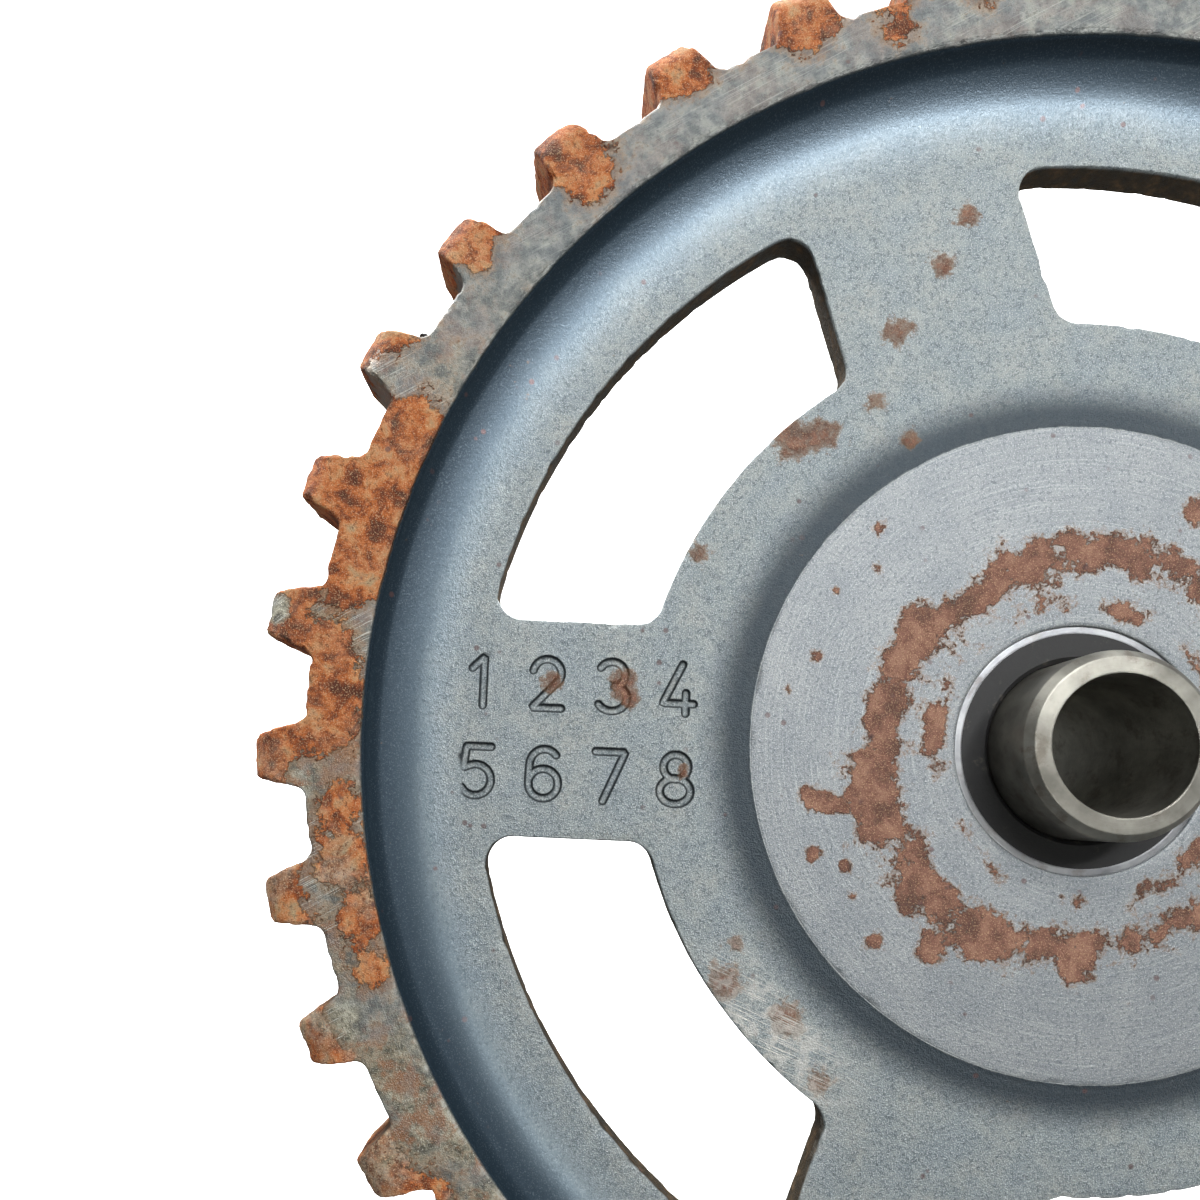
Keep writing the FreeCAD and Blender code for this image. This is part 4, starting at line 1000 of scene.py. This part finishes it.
def turned_metal(name, light, dark, rough, metal, wear, cast=0.0):
    """Plain metal with turning marks round the axle, stains, edges lightened by a painted highlight and
    fine scratches.
    """
    p = Paint(name)
    patchy = p.noise(5.0, 4, 0.6)
    fine = p.noise(0.5, 4, 0.7)
    streak = p.noise(1.0, 2, 0.5, p.round_the_axle(0.1, 14.0))
    colour = p.ramp(patchy, [(0.3, dark), (0.7, light)])
    colour = p.mix(p.step(fine, 0.58, 0.74, 0, 0.5), colour, dark)
    grime = p.times(p.step(p.noise(3.2, 5, 0.7), 0.52, 0.68), wear)
    colour = p.mix(grime, colour, (88, 72, 58))
    edges = p.new("ShaderNodeBevel", samples=4)
    edges.inputs["Radius"].default_value = ROUNDED_EDGE_SHEEN * MM
    surface = p.new("ShaderNodeNewGeometry")
    lean = p.new("ShaderNodeVectorMath", operation="DOT_PRODUCT")
    p.put(lean.inputs[0], edges.outputs[0])
    p.put(lean.inputs[1], surface.outputs["Normal"])
    # painted highlight: where the rounded normal leans off the face, the edges take the light colour
    edge_sheen = p.step(lean.outputs["Value"], 0.995, 0.93, 0, 0.6)
    colour = p.mix(p.times(edge_sheen, p.step(fine, 0.35, 0.6)), colour, light)
    normal = p.bump(fine, 0.02 + 0.1 * cast, edges.outputs[0])
    normal = p.bump(streak, 0.012, normal)
    return p.finish(colour, p.blend(patchy, rough, rough + 0.16), metal, normal)


def rubber(name):
    p = Paint(name)
    dusty = p.noise(2.4, 5, 0.7)
    fine = p.noise(0.3, 3, 0.6)
    colour = p.ramp(dusty, [(0.3, (24, 24, 25)), (0.6, (38, 38, 38)), (0.78, (86, 80, 72))])
    return p.finish(colour, p.blend(dusty, 0.5, 0.8), 0.0, p.bump(fine, 0.03))


def grease(name):
    p = Paint(name)
    lumps = p.noise(0.4, 4, 0.7)
    colour = p.ramp(lumps, [(0.3, (14, 13, 14)), (0.65, (34, 30, 30)), (0.8, (66, 54, 46))])
    return p.finish(colour, p.blend(lumps, 0.35, 0.7), 0.0, p.bump(lumps, 0.08))


def backdrop_paint():
    p = Paint("backdrop")
    soft = p.noise(400.0, 2, 0.5)
    colour = p.ramp(soft, [(0.3, (249, 249, 249)), (0.7, (252, 252, 252))])
    p.put(p.shader.inputs["Emission Color"], colour)
    p.shader.inputs["Emission Strength"].default_value = 0.5
    return p.finish(colour, 0.9, 0.0, None)


# ---- the pieces
def linked(name, data):
    """A new object of the scene."""
    made = bpy.data.objects.new(name, data)
    bpy.context.scene.collection.objects.link(made)
    return made


def shade_smooth(mesh):
    mesh.polygons.foreach_set("use_smooth", [True] * len(mesh.polygons))


def add_object(name, mesh, material, body):
    piece = linked(name, mesh)
    mesh.materials.clear()
    mesh.materials.append(material)
    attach(piece, body)
    return piece


def make_disc():
    mesh = weather(build_disc())
    piece = add_object("toothed_disc", mesh, sprocket_steel(), "sprocket")
    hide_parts("sprocket_disc")


def make_grease():
    """Crumbs of old chain grease in one tooth gap."""
    work = bmesh.new()
    chance = np.random.default_rng(21)

    def drawn(least, spread):
        return least + chance.random() * spread

    for _ in range(GREASE_CRUMBS):
        angle = math.radians(drawn(*GREASE_DEGREES))
        radius = drawn(*GREASE_R)
        y = drawn(*GREASE_Y)
        size = drawn(*GREASE_SIZE)
        made = bmesh.ops.create_icosphere(work, subdivisions=3, radius=size)["verts"]
        cx, cz = polar(radius, angle)
        for vert in made:
            lump = noise.noise(vert.co * 2.4 + Vector((radius, y, angle * 9)))
            vert.co *= 1 + 0.55 * lump
            vert.co += Vector((cx, y, cz))
            vert.co *= MM
    mesh = bpy.data.meshes.new("grease_crumbs")
    work.to_mesh(mesh)
    work.free()
    shade_smooth(mesh)
    add_object("grease_crumbs", mesh, grease("old_grease"), "sprocket")


def paint_carried_nodes():
    cast = turned_metal("hub_casting", (176, 178, 180), (128, 131, 134), 0.42, 0.75, 0.5, cast=1.0)
    screws = turned_metal("screw_steel", (84, 84, 88), (38, 38, 42), 0.34, 0.7, 0.35)
    races = turned_metal("bearing_steel", (196, 198, 202), (150, 152, 158), 0.2, 1.0, 0.1)
    pressed = turned_metal("sheet_steel", (172, 174, 176), (120, 122, 126), 0.32, 0.9, 0.35)
    sleeve = turned_metal("sleeve_steel", (178, 176, 166), (122, 120, 112), 0.3, 0.85, 0.45)
    spring = turned_metal("spring_steel", (92, 90, 88), (44, 43, 43), 0.36, 0.75, 0.3)
    seal = rubber("seal_rubber")
    paints = {
        "driver_hub": cast, "carrier_screws": screws, "carrier_lock_washers": spring,
        "dowel_pins": races, "bearing_inner_ring": races, "bearing_outer_ring": races,
        "bearing_shield_front": pressed, "bearing_shield_rear": pressed, "bearing_balls": races,
        "bearing_cage_front": pressed, "bearing_cage_rear": pressed, "bearing_cage_rivets": pressed,
        "bearing_circlip": spring, "sleeve_circlip": spring, "axle_sleeve": sleeve,
        "seal_case": pressed, "seal_lip": seal, "seal_spring": spring, "hub_o_ring": seal,
    }
    for name, material in paints.items():
        for socket in nodes[name].material_slots:
            socket.material = material
    nodes["sprocket_disc"].material_slots[0].material = cast


# ---- stage, light and camera
FLOOR_R = 0.7
FLOOR_CURVE = 0.5
FLOOR_WALLS = (1.6, 2.8)
FLOOR_COLUMNS = 96


def bowl():
    """A round pale floor that curves up into a wall on all sides."""
    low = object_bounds()[0].z
    line = [(FLOOR_R, 0.0)]
    line += [(FLOOR_R + FLOOR_CURVE * math.sin(t), FLOOR_CURVE - FLOOR_CURVE * math.cos(t))
             for t in np.radians(np.arange(6, 91, 6))]
    line += [(FLOOR_R + FLOOR_CURVE, height) for height in FLOOR_WALLS]
    count = FLOOR_COLUMNS
    verts, faces = [(0, 0, low)], []
    for radius, height in line:
        verts += [(radius * math.cos(TAU * k / count), radius * math.sin(TAU * k / count), low + height)
                  for k in range(count)]
    for k in range(count):
        faces.append((0, 1 + k, 1 + (k + 1) % count))
        for row in range(len(line) - 1):
            a, b = 1 + row * count, 1 + (row + 1) * count
            faces.append((a + k, b + k, b + (k + 1) % count, a + (k + 1) % count))
    mesh = bpy.data.meshes.new("floor")
    mesh.from_pydata(verts, [], faces)
    shade_smooth(mesh)
    mesh.materials.append(backdrop_paint())
    floor = linked("floor", mesh)
    floor.visible_glossy = False
    floor.visible_diffuse = False


def panel(name, place, target, size, power, colour=(1, 1, 1)):
    """A round light of this width in metres and power in watts, aimed at target."""
    data = bpy.data.lights.new(name, "AREA")
    data.shape, data.size, data.energy, data.color = "DISK", size, power, colour
    lamp = linked(name, data)
    lamp.location = place
    aim = Vector(target) - lamp.location
    lamp.rotation_mode = "QUATERNION"
    lamp.rotation_quaternion = aim.to_track_quat("-Z", "Y")
    lamp.visible_camera = False


def light():
    panel("sky_panel", (0.095, -0.50, 0.34), (-0.04, 0, 0.03), 0.38, 2.6, (0.985, 0.99, 1.0))
    panel("glint_panel", (0.235, -0.525, 0.233), (-0.013, 0, 0.073), 0.08, 1.3)
    panel("low_panel", (0.10, -0.58, -0.16), (-0.04, 0, 0.0), 0.20, 1.35, (1.0, 0.97, 0.92))
    panel("top_panel", (-0.25, -0.45, 0.70), (0, 0, 0), 0.4, 1.3)
    for name, side in (("left", -1), ("right", 1)):
        panel("backdrop_panel_" + name, (0.5 * side, 0.25, 0.9), (0.1 * side, 0.9, 0.0), 0.6, 26.0)
    world = bpy.data.worlds.new("studio")
    bpy.context.scene.world = world
    world.use_nodes = True
    ground = world.node_tree.nodes["Background"]
    ground.inputs["Color"].default_value = (0.95, 0.98, 1.0, 1)
    ground.inputs["Strength"].default_value = 0.2


# Place in metres, turn in degrees, lens in millimetres, shift in picture widths.
CAMERA_AT = (-0.05675, -0.09195, -0.00700)
CAMERA_TURN = (92.41, -0.02, 0.97)
CAMERA_LENS = 24.33
CAMERA_SHIFT = (0.0342, 0.1492)


def camera():
    data = bpy.data.cameras.new("camera")
    data.sensor_width, data.lens = 36.0, CAMERA_LENS
    data.shift_x, data.shift_y = CAMERA_SHIFT
    data.clip_start, data.clip_end = 0.005, 20.0
    view = linked("camera", data)
    view.location = CAMERA_AT
    view.rotation_euler = [math.radians(a) for a in CAMERA_TURN]
    bpy.context.scene.camera = view
    bpy.context.scene.view_settings.view_transform = "Standard"


make_disc()
make_grease()
paint_carried_nodes()
bowl()
light()
camera()
